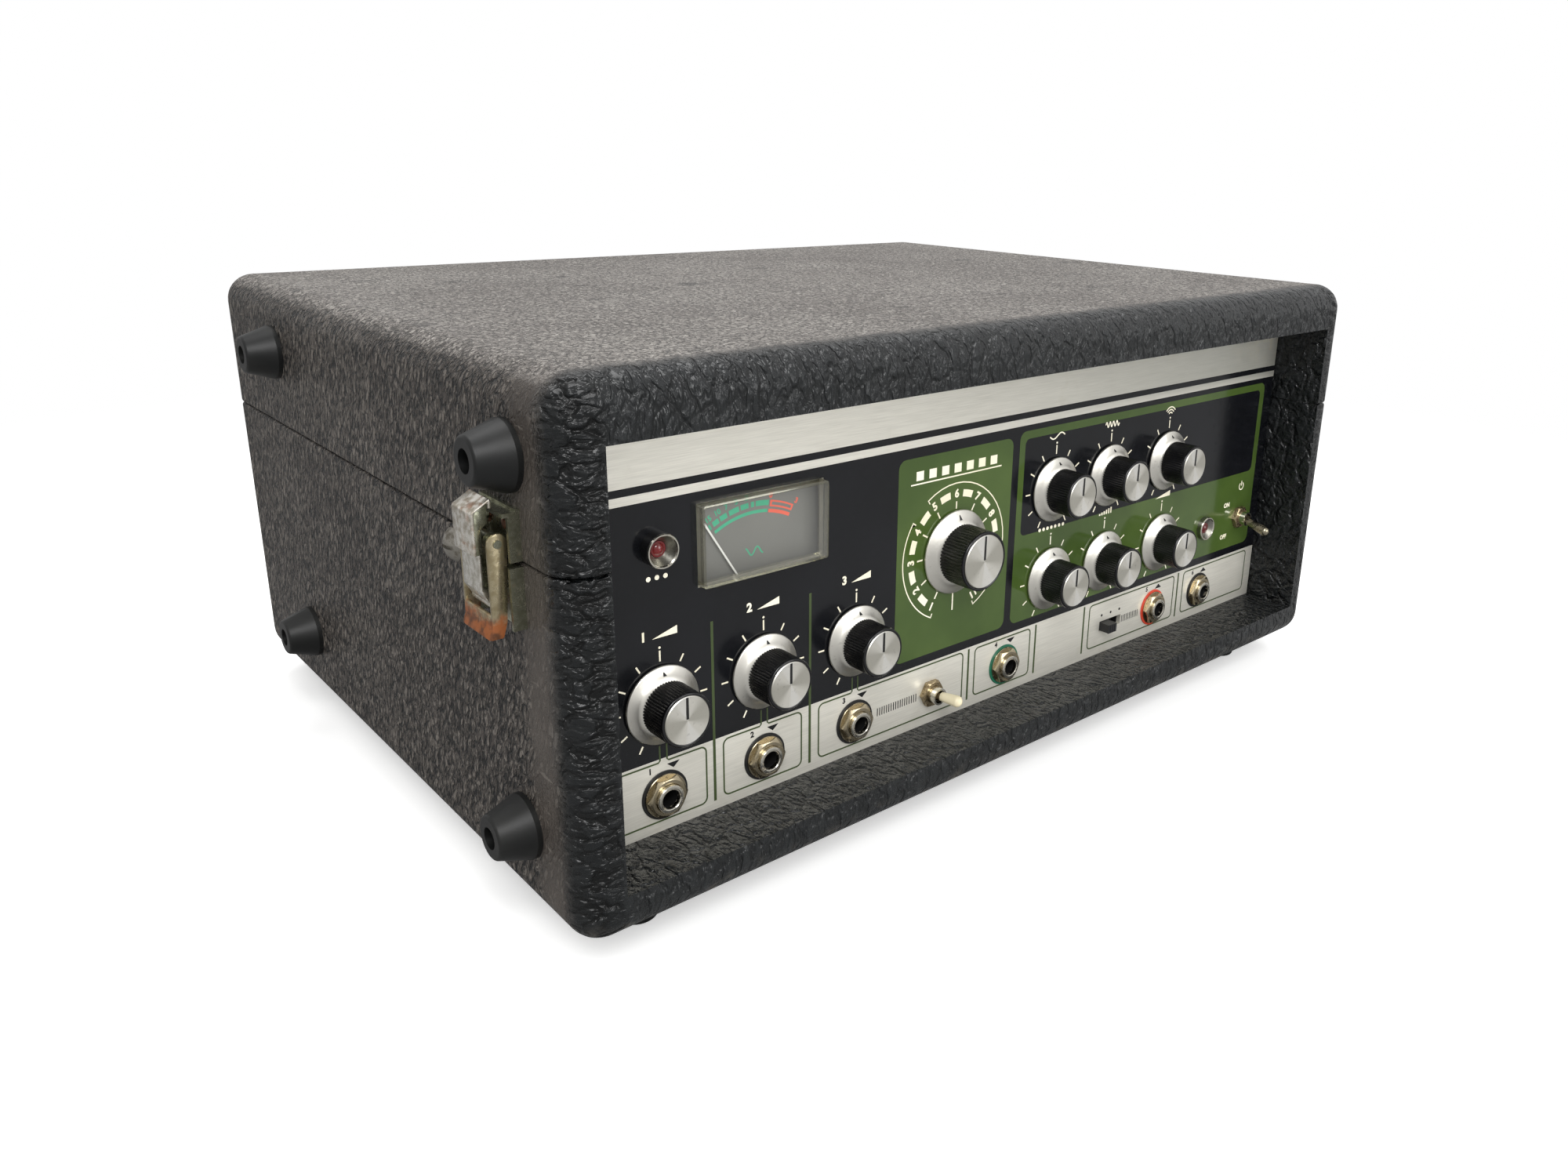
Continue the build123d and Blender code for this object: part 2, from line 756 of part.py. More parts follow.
def latch_claw():
    """Box-nosed hook over the keeper, with a tongue down to its pin between the lever's arms."""
    face = claw_face_out
    inner = face - latch_sheet
    nose = keeper_flange_out + claw_gap
    nose_up = keeper_flange_up + claw_bite_gap
    shoulder = claw_top_up - claw_slope
    bevel = latch_sheet / 2
    outside = [(face, claw_low_up), (face, shoulder), (nose + bevel, claw_top_up),
               (nose, claw_top_up - bevel), (nose, nose_up)]
    hood = across(outside + [(nose + latch_sheet, nose_up), (nose + latch_sheet, claw_top_up - 2 * bevel),
                             (inner, shoulder - bevel), (inner, claw_low_up)], claw_half_width)
    deep, shallow = nose + claw_cheek_gap, inner - claw_cheek_lip
    cheek = across(outside + [(deep, nose_up), (deep, claw_low_up + claw_cheek_rise),
                              (shallow, claw_low_up + claw_cheek_rise), (shallow, claw_low_up)],
                   latch_sheet / 2)
    for side in (-1, 1):
        hood += Pos(0, side * (claw_half_width - latch_sheet / 2), 0) * cheek
    back = inner + claw_gap
    front_of_tongue = back - tongue_thickness
    knuckle_top = latch_link_up + latch_knuckle_radius
    tongue = across([(back, claw_low_up + tongue_overlap), (front_of_tongue, claw_low_up + tongue_overlap),
                     (front_of_tongue, knuckle_top + 3 * tongue_thickness),
                     (latch_pivot_out, knuckle_top - running_gap),
                     (latch_pivot_out + latch_knuckle_radius, latch_link_up),
                     (back, knuckle_top + 2 * tongue_thickness)], claw_half_width)
    tongue += along_latch(latch_knuckle_radius, claw_half_width, latch_pivot_out, latch_link_up)
    return hood + tongue - along_latch(pin_bore, claw_half_width + overcut, latch_pivot_out, latch_link_up)


pin_half = lever_outer_half + latch_pin_head
lever_pin = along_latch(latch_pin_radius, pin_half, latch_pivot_out, latch_pivot_up)
base_pieces = [latch_base(), lever_pin]
base_pieces += [
    rivet(latch_sheet, side * base_rivet_spread, -base_rivet_down, base_rivet_radius, base_rivet_height)
    for side in (-1, 1)
]
keeper_pieces = [latch_keeper()]
keeper_pieces += [
    rivet(latch_sheet, side * keeper_rivet_spread, keeper_rivet_up, keeper_rivet_radius,
          keeper_rivet_height)
    for side in (-1, 1)
]
write("latch_bases", *[piece for shape in base_pieces for piece in latch_pair(shape)])
write("latch_keepers", *[piece for shape in keeper_pieces for piece in latch_pair(shape)])
right_lever, left_lever = latch_pair(latch_lever())
right_claw, left_claw = latch_pair(latch_claw())
write("right_latch_lever", right_lever)
write("left_latch_lever", left_lever)
write("right_latch_claw", right_claw)
write("left_latch_claw", left_claw)


# ---- Where each control sits: name, x, height above the underside --------------------------------
knob_places = {
    "mic_1_knob": (mic_1_x, input_row),
    "mic_2_knob": (mic_2_x, input_row),
    "instrument_knob": (instrument_x, input_row),
    "repeat_rate_knob": (first_column_x, output_row),
    "intensity_knob": (second_column_x, output_row),
    "echo_volume_knob": (third_column_x, output_row),
    "bass_knob": (first_column_x, tone_row),
    "treble_knob": (second_column_x, tone_row),
    "reverb_volume_knob": (third_column_x, tone_row),
}
jack_xs = [mic_1_x, mic_2_x, instrument_x, return_x, third_column_x, foot_switch_x]
toggle_places = [(power_x, lamp_row), (echo_toggle_x, jack_row)]


# ---- Knobs: skirt, fluted grip, metal cap and shaft ----------------------------------------------
def fluted(radius, low, high):
    """A grip whose wall steps in and out by the flute's depth."""
    points = []
    for step in range(2 * grip_flutes):
        reach = radius - flute_depth * (step % 2)
        angle = pi * step / grip_flutes
        points.append((reach * cos(angle), reach * sin(angle)))
    return Pos(0, 0, low) * extrude(make_face(Polyline(*points, close=True)), high - low)


def knob(cap_radius, grip_radius, skirt_radius, height):
    recess_radius = grip_radius - grip_wall
    shaft_top = height - shaft_below_cap
    rim_top = knob_gap + skirt_rim
    skirt = turned((recess_radius, knob_gap), (skirt_radius, knob_gap), (skirt_radius, rim_top),
                   (grip_radius + cap_border, skirt_rise), (recess_radius, skirt_rise))
    grip = fluted(grip_radius, skirt_rise, height - cap_border)
    grip += disc(cap_radius + cap_border, height - cap_border, height)
    grip -= disc(recess_radius, 0, knob_recess_depth)
    grip -= disc(cap_radius, height - cap_inset, height + overcut)
    grip -= disc(shaft_radius, 0, shaft_top)
    metal_cap = disc(cap_radius, height - cap_inset, height)
    shaft = disc(shaft_radius, pot_floor, shaft_top)
    return [skirt, grip, metal_cap, shaft]


small_knob = knob(knob_cap_radius, knob_grip_radius, knob_skirt_radius, knob_height)
for name, (x, above_base) in knob_places.items():
    write(name, *[on_panel(x, above_base, piece) for piece in small_knob])
mode_knob = knob(mode_cap_radius, mode_grip_radius, mode_skirt_radius, mode_knob_height)
write("mode_selector_knob", *[on_panel(mode_x, mode_row, piece) for piece in mode_knob])


# ---- Potentiometers, the rotary switch and all the nuts on the panel -----------------------------
def rotary_control(body_radius, depth):
    """A round can behind the panel, with a bush through it and three solder tags below."""
    can = disc(body_radius, -panel_thickness - depth, -panel_thickness)
    can += disc(bush_radius, -panel_thickness, bush_height)
    tag_back = -panel_thickness - tag_length
    tag_low = -body_radius - tag_length
    for tag in (-tag_pitch, 0, tag_pitch):
        can += block((tag - tag_width / 2, tag + tag_width / 2), (tag_low, overcut - body_radius),
                     (tag_back, tag_back + tag_thickness))
    return can - disc(shaft_radius + running_gap, pot_floor - shaft_end_gap, bush_height + overcut)


pot = rotary_control(pot_radius, pot_depth)
controls = [on_panel(x, above_base, pot) for x, above_base in knob_places.values()]
controls.append(on_panel(mode_x, mode_row, rotary_control(switch_radius, switch_depth)))
write("rotary_controls", *controls)

control_nut = hex_nut(control_nut_flats, bush_radius, 0, nut_height)
jack_nut = hex_nut(jack_nut_flats, jack_sleeve_radius, jack_ring_height, nut_height)
toggle_nut = hex_nut(toggle_nut_flats, toggle_bush_radius, 0, nut_height)
nuts = [on_panel(x, above_base, control_nut) for x, above_base in knob_places.values()]
nuts.append(on_panel(mode_x, mode_row, control_nut))
nuts += [on_panel(x, jack_row, jack_nut) for x in jack_xs]
nuts += [on_panel(x, above_base, toggle_nut) for x, above_base in toggle_places]
write("panel_nuts", *nuts)


# ---- Jack sockets ------------------------------------------------------------------------------
def jack_socket():
    """A boxed socket behind the panel with a threaded sleeve through it."""
    half = jack_body_width / 2
    body = block((-half, half), (-half, half), (-panel_thickness - jack_body_depth, -panel_thickness))
    body += disc(jack_sleeve_radius, -panel_thickness, jack_front)
    return body - disc(plug_bore, jack_front - plug_reach, jack_front + overcut)


socket = jack_socket()
ring = disc(jack_ring_radius, 0, jack_ring_height) - disc(jack_sleeve_radius, 0, jack_ring_height)
write("jack_sockets", *[on_panel(x, jack_row, socket) for x in jack_xs])
write("jack_rings", *[on_panel(x, jack_row, ring) for x in jack_xs])


# ---- Toggle switches -----------------------------------------------------------------------------
def toggle_switch():
    half_w, half_h = toggle_body_width / 2, toggle_body_height / 2
    body = block((-half_w, half_w), (-half_h, half_h),
                 (-panel_thickness - toggle_body_depth, -panel_thickness))
    body += disc(toggle_bush_radius, -panel_thickness, toggle_front)
    return body - disc(toggle_bore_radius, -panel_thickness - overcut, toggle_front + overcut)


def toggle_lever(reach):
    """A bat lever on a ball, straight out of the panel; it leans when it is placed."""
    tip = reach - toggle_pivot_front
    bat = turned((0, 0), (toggle_stem_radius, 0), (toggle_stem_radius, toggle_neck),
                 (toggle_tip_radius, tip - 1.4 * toggle_tip_round),
                 (toggle_tip_radius - toggle_tip_round, tip), (0, tip))
    return bat + Sphere(toggle_ball_radius)


def leaning(shape, about_x, about_y):
    return Pos(0, 0, toggle_pivot_front) * Rot(about_x, about_y, 0) * shape


write("toggle_switches", *[on_panel(x, above_base, toggle_switch()) for x, above_base in toggle_places])
power_bat = leaning(toggle_lever(toggle_reach), toggle_lean, 0)
echo_bat = leaning(toggle_lever(echo_toggle_reach), 0, echo_toggle_lean)
write("power_toggle_lever", on_panel(power_x, lamp_row, power_bat))
write("echo_toggle_lever", on_panel(echo_toggle_x, jack_row, echo_bat))

slot_half = (slider_width + slider_travel) / 2 + slot_gap
slot_half_height = slider_height / 2 + slot_gap


def slide_switch():
    """A flat body behind the panel with a channel for its knob."""
    half = slot_half + slide_body_margin
    body = block((-half, half), (-slide_body_height / 2, slide_body_height / 2),
                 (-panel_thickness - slide_body_depth, -panel_thickness))
    return body - block((-slot_half, slot_half), (-slot_half_height, slot_half_height),
                        (-panel_thickness - slider_depth - slot_gap, 0))


def slider_knob():
    knob_low = -panel_thickness - slider_depth
    return block((-slider_width / 2, slider_width / 2), (-slider_height / 2, slider_height / 2),
                 (knob_low, slider_front))


write("range_switch", on_panel(range_x, range_row, slide_switch()))
write("range_slider", on_panel(range_x - slider_travel / 2, range_row, slider_knob()))


# ---- Level meter: all in the window's own frame --------------------------------------------------
window_half_w = meter_width / 2
window_half_h = meter_height / 2
case_half_w = window_half_w + meter_case_margin
case_low = -meter_pivot_drop - meter_below_pivot
case_high = window_half_h + meter_case_margin
cavity_back = -panel_thickness - meter_cavity
dial_front = cavity_back + dial_thickness
needle_back = dial_front + needle_gap
needle_front = needle_back + needle_thickness


def meter_inside(gap, low, high):
    """A block that fills the meter's case to within a gap of its outer faces."""
    return block((gap - case_half_w, case_half_w - gap), (case_low + gap, case_high - gap), (low, high))


def meter_case():
    body = block((-case_half_w, case_half_w), (case_low, case_high),
                 (-panel_thickness - meter_depth, -panel_thickness))
    cavity = meter_inside(meter_case_wall, cavity_back, overcut - panel_thickness)
    post = disc(needle_post_radius, cavity_back, needle_front + needle_post_end)
    return body - cavity + Pos(0, -meter_pivot_drop, 0) * post


def meter_dial():
    """The printed plate behind the needle, standing on the bottom of the movement's well."""
    plate = meter_inside(meter_case_wall + dial_gap, cavity_back, dial_front)
    hole = disc(dial_hole_radius, cavity_back - overcut, dial_front + overcut)
    return plate - Pos(0, -meter_pivot_drop, 0) * hole


def meter_needle():
    """Hub and pointer; straight up in its own frame."""
    hub = disc(needle_hub_radius, needle_back, needle_front)
    hub += block((-needle_width / 2, needle_width / 2), (0, needle_length), (needle_back, needle_front))
    return hub - disc(needle_post_radius + running_gap, needle_back - overcut, needle_front + overcut)


def meter_cover():
    shell = block((-window_half_w, window_half_w), (-window_half_h, window_half_h),
                  (-panel_thickness, meter_front))
    wall = meter_cover_wall
    return shell - block((wall - window_half_w, window_half_w - wall),
                         (wall - window_half_h, window_half_h - wall),
                         (-panel_thickness - overcut, meter_front - wall))


resting_needle = Pos(0, -meter_pivot_drop, 0) * Rot(0, 0, needle_rest_lean) * meter_needle()
write("meter_case", on_panel(mic_2_x, meter_above_base, meter_case()))
write("meter_dial", on_panel(mic_2_x, meter_above_base, meter_dial()))
write("meter_needle", on_panel(mic_2_x, meter_above_base, resting_needle))
write("meter_cover", on_panel(mic_2_x, meter_above_base, meter_cover()))


# ---- Lamps ---------------------------------------------------------------------------------------
def lamp_bezel(proud):
    """A turned collar with a cone down to the lens, its shank through the panel."""
    shank_radius = lamp_lens_radius + lamp_wall
    shank_end = -panel_thickness - lamp_shank
    return turned((lamp_lens_radius, shank_end), (shank_radius, shank_end), (shank_radius, 0),
                  (lamp_bezel_radius, 0), (lamp_bezel_radius, proud - lamp_edge),
                  (lamp_bezel_radius - lamp_edge, proud), (lamp_bezel_radius - lamp_edge - lamp_face, proud),
                  (lamp_lens_radius, proud * lamp_seat))


def lamp_lens(proud):
    """A rod with a domed front that stands a little out of its collar's seat."""
    tip = max(proud * lamp_seat + lens_rise, lamp_lens_radius * 0.6)
    back = -panel_thickness - lamp_body
    body = disc(lamp_lens_radius, back, tip - lamp_lens_radius * 0.4)
    dome = Pos(0, 0, tip - lamp_lens_radius) * Sphere(lamp_lens_radius)
    return body + dome & disc(lamp_lens_radius, back, tip)


lamp_places = [(mic_1_x, peak_lamp_row, peak_lamp_front), (foot_switch_x, lamp_row, power_lamp_front)]
write("lamp_bezels", *[on_panel(x, row, lamp_bezel(proud)) for x, row, proud in lamp_places])
write("lamp_lenses", *[on_panel(x, row, lamp_lens(proud)) for x, row, proud in lamp_places])


# ---- Front panel: a plate with a hole for each fitting -------------------------------------------
def front_panel():
    plate = block((-panel_half, panel_half), (panel_face, panel_back), (panel_bottom, panel_top))
    through_panel = (-panel_thickness - overcut, overcut)
    holes = [(x, row, bush_radius) for x, row in knob_places.values()]
    holes.append((mode_x, mode_row, bush_radius))
    holes += [(x, jack_row, jack_sleeve_radius) for x in jack_xs]
    holes += [(x, row, toggle_bush_radius) for x, row in toggle_places]
    holes += [(x, row, lamp_lens_radius + lamp_wall) for x, row, _ in lamp_places]
    for x, row, radius in holes:
        plate -= on_panel(x, row, disc(radius, *through_panel))
    slot = block((-slot_half, slot_half), (-slot_half_height, slot_half_height), through_panel)
    window = block((-window_half_w, window_half_w), (-window_half_h, window_half_h), through_panel)
    plate -= on_panel(range_x, range_row, slot)
    return plate - on_panel(mic_2_x, meter_above_base, window)


write("front_panel", front_panel())


# ---- Chassis: a folded tray that carries the deck ------------------------------------------------
def chassis():
    sheet = chassis_sheet
    ledge_low = deck_bottom - sheet
    tray = block((-chassis_half, chassis_half), (panel_face, chassis_rear), (floor_top, floor_top + sheet))
    for side in (-1, 1):
        wall = sorted((side * chassis_half, side * (chassis_half - sheet)))
        ledge = sorted((side * chassis_half, side * (chassis_half - deck_ledge)))
        tab = sorted((side * chassis_half, side * (chassis_half - panel_tab)))
        tray += block(wall, (panel_back, chassis_rear), (floor_top, deck_bottom))
        tray += block(ledge, (deck_front, chassis_rear), (ledge_low, deck_bottom))
        tray += block(tab, (panel_back, panel_back + sheet), (floor_top, deck_bottom))
    tray -= on_left_side(bolt_y, bolt_z, bolt_hole)
    return tray - on_right_side(bolt_y, bolt_z, bolt_hole)


write("chassis", chassis())

# ---- Tape deck: plate, drive and heads -----------------------------------------------------------
capstan_y = tape_line - tape_thickness / 2 - tape_gap - capstan_radius
motor_y = chassis_rear - motor_from_chassis_rear
pressed_roller_y = tape_line + tape_thickness / 2 + tape_gap + roller_radius
pivot_x = capstan_x + arm_length
pivot_y = pressed_roller_y + arm_length * sin(radians(arm_throw)) / 2
flywheel_top = deck_bottom - flywheel_below_deck
flywheel_low = flywheel_top - flywheel_height
bin_y = (tape_line + bin_behind_tape, chassis_rear - bin_from_chassis_rear)
bin_top = deck_top + bin_height
exit_x = bin_x[0] + bin_exit_inset      # where the tape leaves the chamber
entry_x = bin_x[1] - bin_entry_inset    # where it goes back in


def deck_plate():
    """Plate with the tape chamber's rails, the capstan's bearing boss and the arm's pivot post."""
    half = chassis_half - deck_side_gap
    plate = block((-half, half), (deck_front, chassis_rear), (deck_bottom, deck_top))
    rails = block(bin_x, bin_y, (deck_top, bin_top))
    rails -= block((bin_x[0] + bin_wall, bin_x[1] - bin_wall), (bin_y[0] + bin_wall, bin_y[1] - bin_wall),
                   (deck_top, bin_top))
    for mouth_x in (exit_x, entry_x):
        rails -= block((mouth_x - bin_mouth_half, mouth_x + bin_mouth_half),
                       (bin_y[0] - overcut, bin_y[0] + bin_wall + overcut), (deck_top, bin_top))
    boss_low, boss_high = deck_bottom - boss_below_deck, deck_top + boss_above_deck
    plate += rails + Pos(capstan_x, capstan_y, 0) * disc(boss_radius, boss_low, boss_high)
    plate += Pos(pivot_x, pivot_y, 0) * disc(pivot_post_radius, deck_top, tape_high + pivot_post_above_tape)
    bearing = disc(capstan_radius + running_gap, boss_low - overcut, boss_high + overcut)
    return plate - Pos(capstan_x, capstan_y, 0) * bearing


def thrust_bracket():
    """A strap from the deck down under the flywheel, which takes the capstan's end."""
    leg_x = capstan_x - flywheel_radius - bracket_gap
    high = flywheel_low - capstan_end - capstan_end_gap
    y = (capstan_y - bracket_half, capstan_y + bracket_half)
    strap = block((leg_x, leg_x + bracket_leg), y, (high - bracket_sheet, deck_bottom))
    return strap + block((leg_x, capstan_x + bracket_half), y, (high - bracket_sheet, high))


write("deck_plate", deck_plate(), thrust_bracket())


def capstan():
    """Flywheel with a belt groove and the capstan shaft through it."""
    groove_radius = flywheel_radius - belt_thickness
    groove_low = flywheel_low + flywheel_rim
    groove_high = groove_low + belt_width + 2 * belt_gap
    wheel = turned((0, flywheel_low), (flywheel_radius, flywheel_low), (flywheel_radius, groove_low),
                   (groove_radius, groove_low), (groove_radius, groove_high), (flywheel_radius, groove_high),
                   (flywheel_radius, flywheel_top), (0, flywheel_top))
    shaft = disc(capstan_radius, flywheel_low - capstan_end, tape_high + capstan_above_tape)
    return Pos(capstan_x, capstan_y, 0) * (wheel + shaft)


belt_low = flywheel_low + flywheel_rim + belt_gap
belt_high = belt_low + belt_width
write("capstan_flywheel", capstan())

belt_angle = atan2(capstan_y - motor_y, capstan_x - motor_x)
motor_top = deck_bottom - motor_below_deck
motor_shaft_bore = motor_shaft_radius + running_gap


def motor():
    """Motor can hung under the deck on three posts that stand clear of the belt."""
    can = disc(motor_radius, motor_top - motor_height, motor_top)
    for turn in range(3):
        angle = belt_angle + radians(60 + 120 * turn)
        place = Pos(motor_post_circle * cos(angle), motor_post_circle * sin(angle), 0)
        can += place * disc(motor_post_radius, motor_top, deck_bottom)
    shaft_hole = disc(motor_shaft_bore, motor_top - motor_shaft_depth, motor_top + overcut)
    return Pos(motor_x, motor_y, 0) * (can - shaft_hole)


def motor_pulley():
    """Flanged pulley on the motor's shaft."""
    flange_radius = motor_pulley_radius + pulley_flange
    low, high = belt_low - belt_gap, belt_high + belt_gap
    wheel = disc(flange_radius, low - pulley_flange_height, low) + disc(motor_pulley_radius, low, high)
    wheel += disc(flange_radius, high, high + pulley_flange_height)
    shaft_end = motor_top - motor_shaft_depth + motor_shaft_end_gap
    return Pos(motor_x, motor_y, 0) * (wheel + disc(motor_shaft_radius, shaft_end, high))


write("drive_motor", motor())
write("motor_pulley", motor_pulley())


def belt_outline(margin):
    """The round-ended shape that encloses both pulleys, a margin away from them."""
    large = flywheel_radius - belt_thickness + margin
    small = motor_pulley_radius + margin
    ends = Pos(capstan_x, capstan_y) * Circle(large) + Pos(motor_x, motor_y) * Circle(small)
    return make_hull(ends.edges())


belt = extrude(belt_outline(belt_gap + belt_thickness) - belt_outline(belt_gap), belt_width)
write("drive_belt", Pos(0, 0, belt_low) * belt)


# ---- Pinch roller, its arm and the solenoid that pulls it in -------------------------------------
arm_low = tape_high + arm_above_tape
arm_high = arm_low + arm_sheet
roller_low = arm_low - roller_gap - roller_height
drive_pin_x = arm_tail - drive_pin_inset
released = Pos(pivot_x, pivot_y, 0) * Rot(0, 0, -arm_throw / 2)


def pinch_arm():
    """Released position: hub on the pivot post, roller axle on one end, drive pin on the other."""
    plate = block((-arm_length, arm_tail), (-arm_half_width, arm_half_width), (arm_low, arm_high))
    plate += Pos(-arm_length, 0, 0) * disc(arm_end_radius, arm_low, arm_high)
    plate += disc(arm_hub_radius, deck_top + roller_gap, arm_high)
    plate -= disc(pivot_post_radius + running_gap, deck_top, arm_high + overcut)
    head_high = roller_low - roller_gap
    head_low = head_high - axle_head_height
    axle = disc(roller_axle_radius, head_low, arm_low) + disc(axle_head_radius, head_low, head_high)
    pin = disc(drive_pin_radius, arm_low, arm_high + drive_pin_height)
    return plate + Pos(-arm_length, 0, 0) * axle + Pos(drive_pin_x, 0, 0) * pin


def pinch_roller():
    """A rubber tyre that turns on the arm's axle."""
    high = roller_low + roller_height
    tyre = disc(roller_radius, roller_low, high)
    tyre -= disc(roller_axle_radius + running_gap, roller_low - overcut, high + overcut)
    return Pos(-arm_length, 0, 0) * tyre


write("pinch_arm", released * pinch_arm())
write("pinch_roller", released * pinch_roller())

tail_x = pivot_x + drive_pin_x * cos(radians(arm_throw / 2))
tail_y = pivot_y - drive_pin_x * sin(radians(arm_throw / 2))
plunger_z = arm_high + plunger_above_arm
solenoid_front = tail_y + solenoid_from_arm


def solenoid():
    """A wound frame on the deck with a bore for its plunger."""
    frame = block((tail_x - solenoid_half, tail_x + solenoid_half),
                  (solenoid_front, solenoid_front + solenoid_length), (deck_top, plunger_z + solenoid_half))
    bore = Rot(-90, 0, 0) * disc(plunger_radius + running_gap, -overcut, solenoid_bore_depth)
    return frame - Pos(tail_x, solenoid_front, plunger_z) * bore


def solenoid_plunger():
    """A rod with a slotted end over the arm's pin."""
    rod = Pos(tail_x, solenoid_front, plunger_z) * Rot(90, 0, 0) * Cylinder(plunger_radius, plunger_length)
    fork_low = arm_high + fork_lift
    fork = block((tail_x - fork_half_width, tail_x + fork_half_width),
                 (tail_y - fork_half_width, solenoid_front - fork_lap), (fork_low, fork_low + fork_thickness))
    slot = block((tail_x - fork_slot_half_x, tail_x + fork_slot_half_x),
                 (tail_y - fork_slot_half_y, tail_y + fork_slot_half_y),
                 (arm_high, fork_low + fork_thickness + overcut))
    return rod + fork - slot


write("solenoid", solenoid())
write("solenoid_plunger", solenoid_plunger())


# ---- Heads and guides: in front of the tape, on one base -----------------------------------------
head_face = tape_line - tape_thickness / 2 - tape_gap
head_base_top = tape_low - head_base_gap
head_top = tape_high + head_above_tape
guide_y = head_face - guide_radius


def tape_head(x, width):
    """A shielded block whose rounded nose meets the tape."""
    sides = (x - width / 2, x + width / 2)
    heights = (head_base_top, head_top)
    nose_radius = width * head_nose
    nose = Pos(x, head_face - nose_radius, 0) * disc(nose_radius, *heights)
    nose = nose & block(sides, (head_face - head_depth, head_face), heights)
    return nose + block(sides, (head_face - head_depth, head_face - width * head_shoulder), heights)


def tape_guide(x):
    """A waisted post with a flange above and below the tape."""
    flange_low = tape_high + tape_gap
    flange_high = flange_low + guide_flange_height
    return Pos(x, guide_y, 0) * (disc(guide_flange_radius, deck_top, head_base_top)
                                 + disc(guide_radius, head_base_top, flange_low)
                                 + disc(guide_flange_radius, flange_low, flange_high))


erase_x = capstan_x - erase_from_capstan
record_x = capstan_x - record_from_capstan
first_playback_x = capstan_x - first_playback_from_capstan
last_playback_x = first_playback_x + (playback_heads - 1) * playback_pitch
guide_xs = [capstan_x - place for place in guides_from_capstan]
head_base = block((erase_x - head_base_overhang, last_playback_x + head_base_overhang),
                  (deck_front + head_base_from_deck_front, head_face - head_base_behind_face),
                  (deck_top, head_base_top))
for x in guide_xs:
    head_base -= Pos(x, guide_y, 0) * disc(guide_flange_radius, deck_top - overcut, head_base_top + overcut)
heads = [tape_head(erase_x, erase_head_width), tape_head(record_x, head_width)]
heads += [tape_head(first_playback_x + step * playback_pitch, head_width) for step in range(playback_heads)]
write("head_block", head_base, *heads, *[tape_guide(x) for x in guide_xs])


# ---- Tape loop: along the heads, then folded back and forth in its chamber -----------------------
def tape_loop():
    """A ribbon on edge; the folds in the chamber swing between two rows."""
    left_x = guide_xs[0] - tape_start
    low_row, high_row = bin_y[0] + fold_front_gap, bin_y[1] - fold_rear_gap
    pitch = (entry_x - exit_x) / tape_folds
    route = [(left_x, tape_line), (entry_x, tape_line), (entry_x, high_row)]
    for fold in range(1, tape_folds):
        x = entry_x - fold * pitch
        rows = (high_row, low_row) if fold % 2 else (low_row, high_row)
        route += [(x, rows[0]), (x, rows[1])]
    route += [(exit_x, high_row if tape_folds % 2 else low_row), (exit_x, bin_y[0] - tape_bend)]
    path = FilletPolyline(*route, radius=tape_bend, close=True)
    return Pos(0, 0, tape_low) * extrude(trace(path, line_width=tape_thickness), tape_width)


write("tape_loop", tape_loop())
write("tape_cover", block((bin_x[0] - cover_margin, bin_x[1] + cover_margin),
                          (bin_y[0] - cover_margin, bin_y[1] + cover_margin),
                          (bin_top, bin_top + cover_thickness)))


# ---- Under the deck: electronics, reverb tank and transformer ------------------------------------
tray_top = floor_top + chassis_sheet


def circuit_board():
    """The board on four posts, with rows of capacitors and transistors."""
    board_y = [front + place for place in board_from_front]
    board_low = tray_top + board_post_height
    board_high = board_low + board_thickness
    pieces = [block(board_x, board_y, (board_low, board_high))]
    for x in (board_x[0] + board_post_inset, board_x[1] - board_post_inset):
        for y in (board_y[0] + board_post_inset, board_y[1] - board_post_inset):
            pieces.append(Pos(x, y, 0) * disc(board_post_radius, tray_top, board_low))
    component_run = board_x[1] - board_x[0] - component_inset - component_far_inset
    column_pitch = component_run / (component_columns - 1)
    for column in range(component_columns):
        for row in range(component_rows):
            radius = small_component_radius if (column + row) % 3 else large_component_radius
            place = Pos(board_x[0] + component_inset + column * column_pitch,
                        board_y[0] + component_inset + row * component_row_pitch, 0)
            pieces.append(place * disc(radius, board_high, board_high + component_slenderness * radius))
    return pieces


def reverb_tank():
    """An open channel with two springs stretched from end to end."""
    tank_rear = chassis_rear - tank_from_chassis_rear
    tank_y = (tank_rear - tank_depth, tank_rear)
    channel = block(tank_x, tank_y, (tray_top, tray_top + tank_height))
    channel -= block((tank_x[0] + tank_wall, tank_x[1] - tank_wall),
                     (tank_y[0] + tank_wall, tank_y[1] - tank_wall),
                     (tray_top + tank_wall, tray_top + tank_height + overcut))
    middle = Pos(sum(tank_x) / 2, sum(tank_y) / 2, tray_top + tank_spring_up) * Rot(0, 90, 0)
    spring = Cylinder(tank_spring_radius, tank_x[1] - tank_x[0] - 2 * tank_wall)
    springs = [middle * Pos(0, side * tank_spring_offset, 0) * spring for side in (-1, 1)]
    return [channel, *springs]


def transformer():
    """Laminated core with its winding, standing on the tray."""
    core = block((-core_half_width, core_half_width), (-core_half_depth, core_half_depth), (0, core_height))
    winding = block((-winding_half_width, winding_half_width), (-winding_half_depth, winding_half_depth),
                    (winding_inset, core_height - winding_inset))
    return Pos(transformer_x, chassis_rear - transformer_from_chassis_rear, tray_top) * (core + winding)


write("circuit_board", *circuit_board())
write("reverb_tank", *reverb_tank())
write("transformer", transformer())


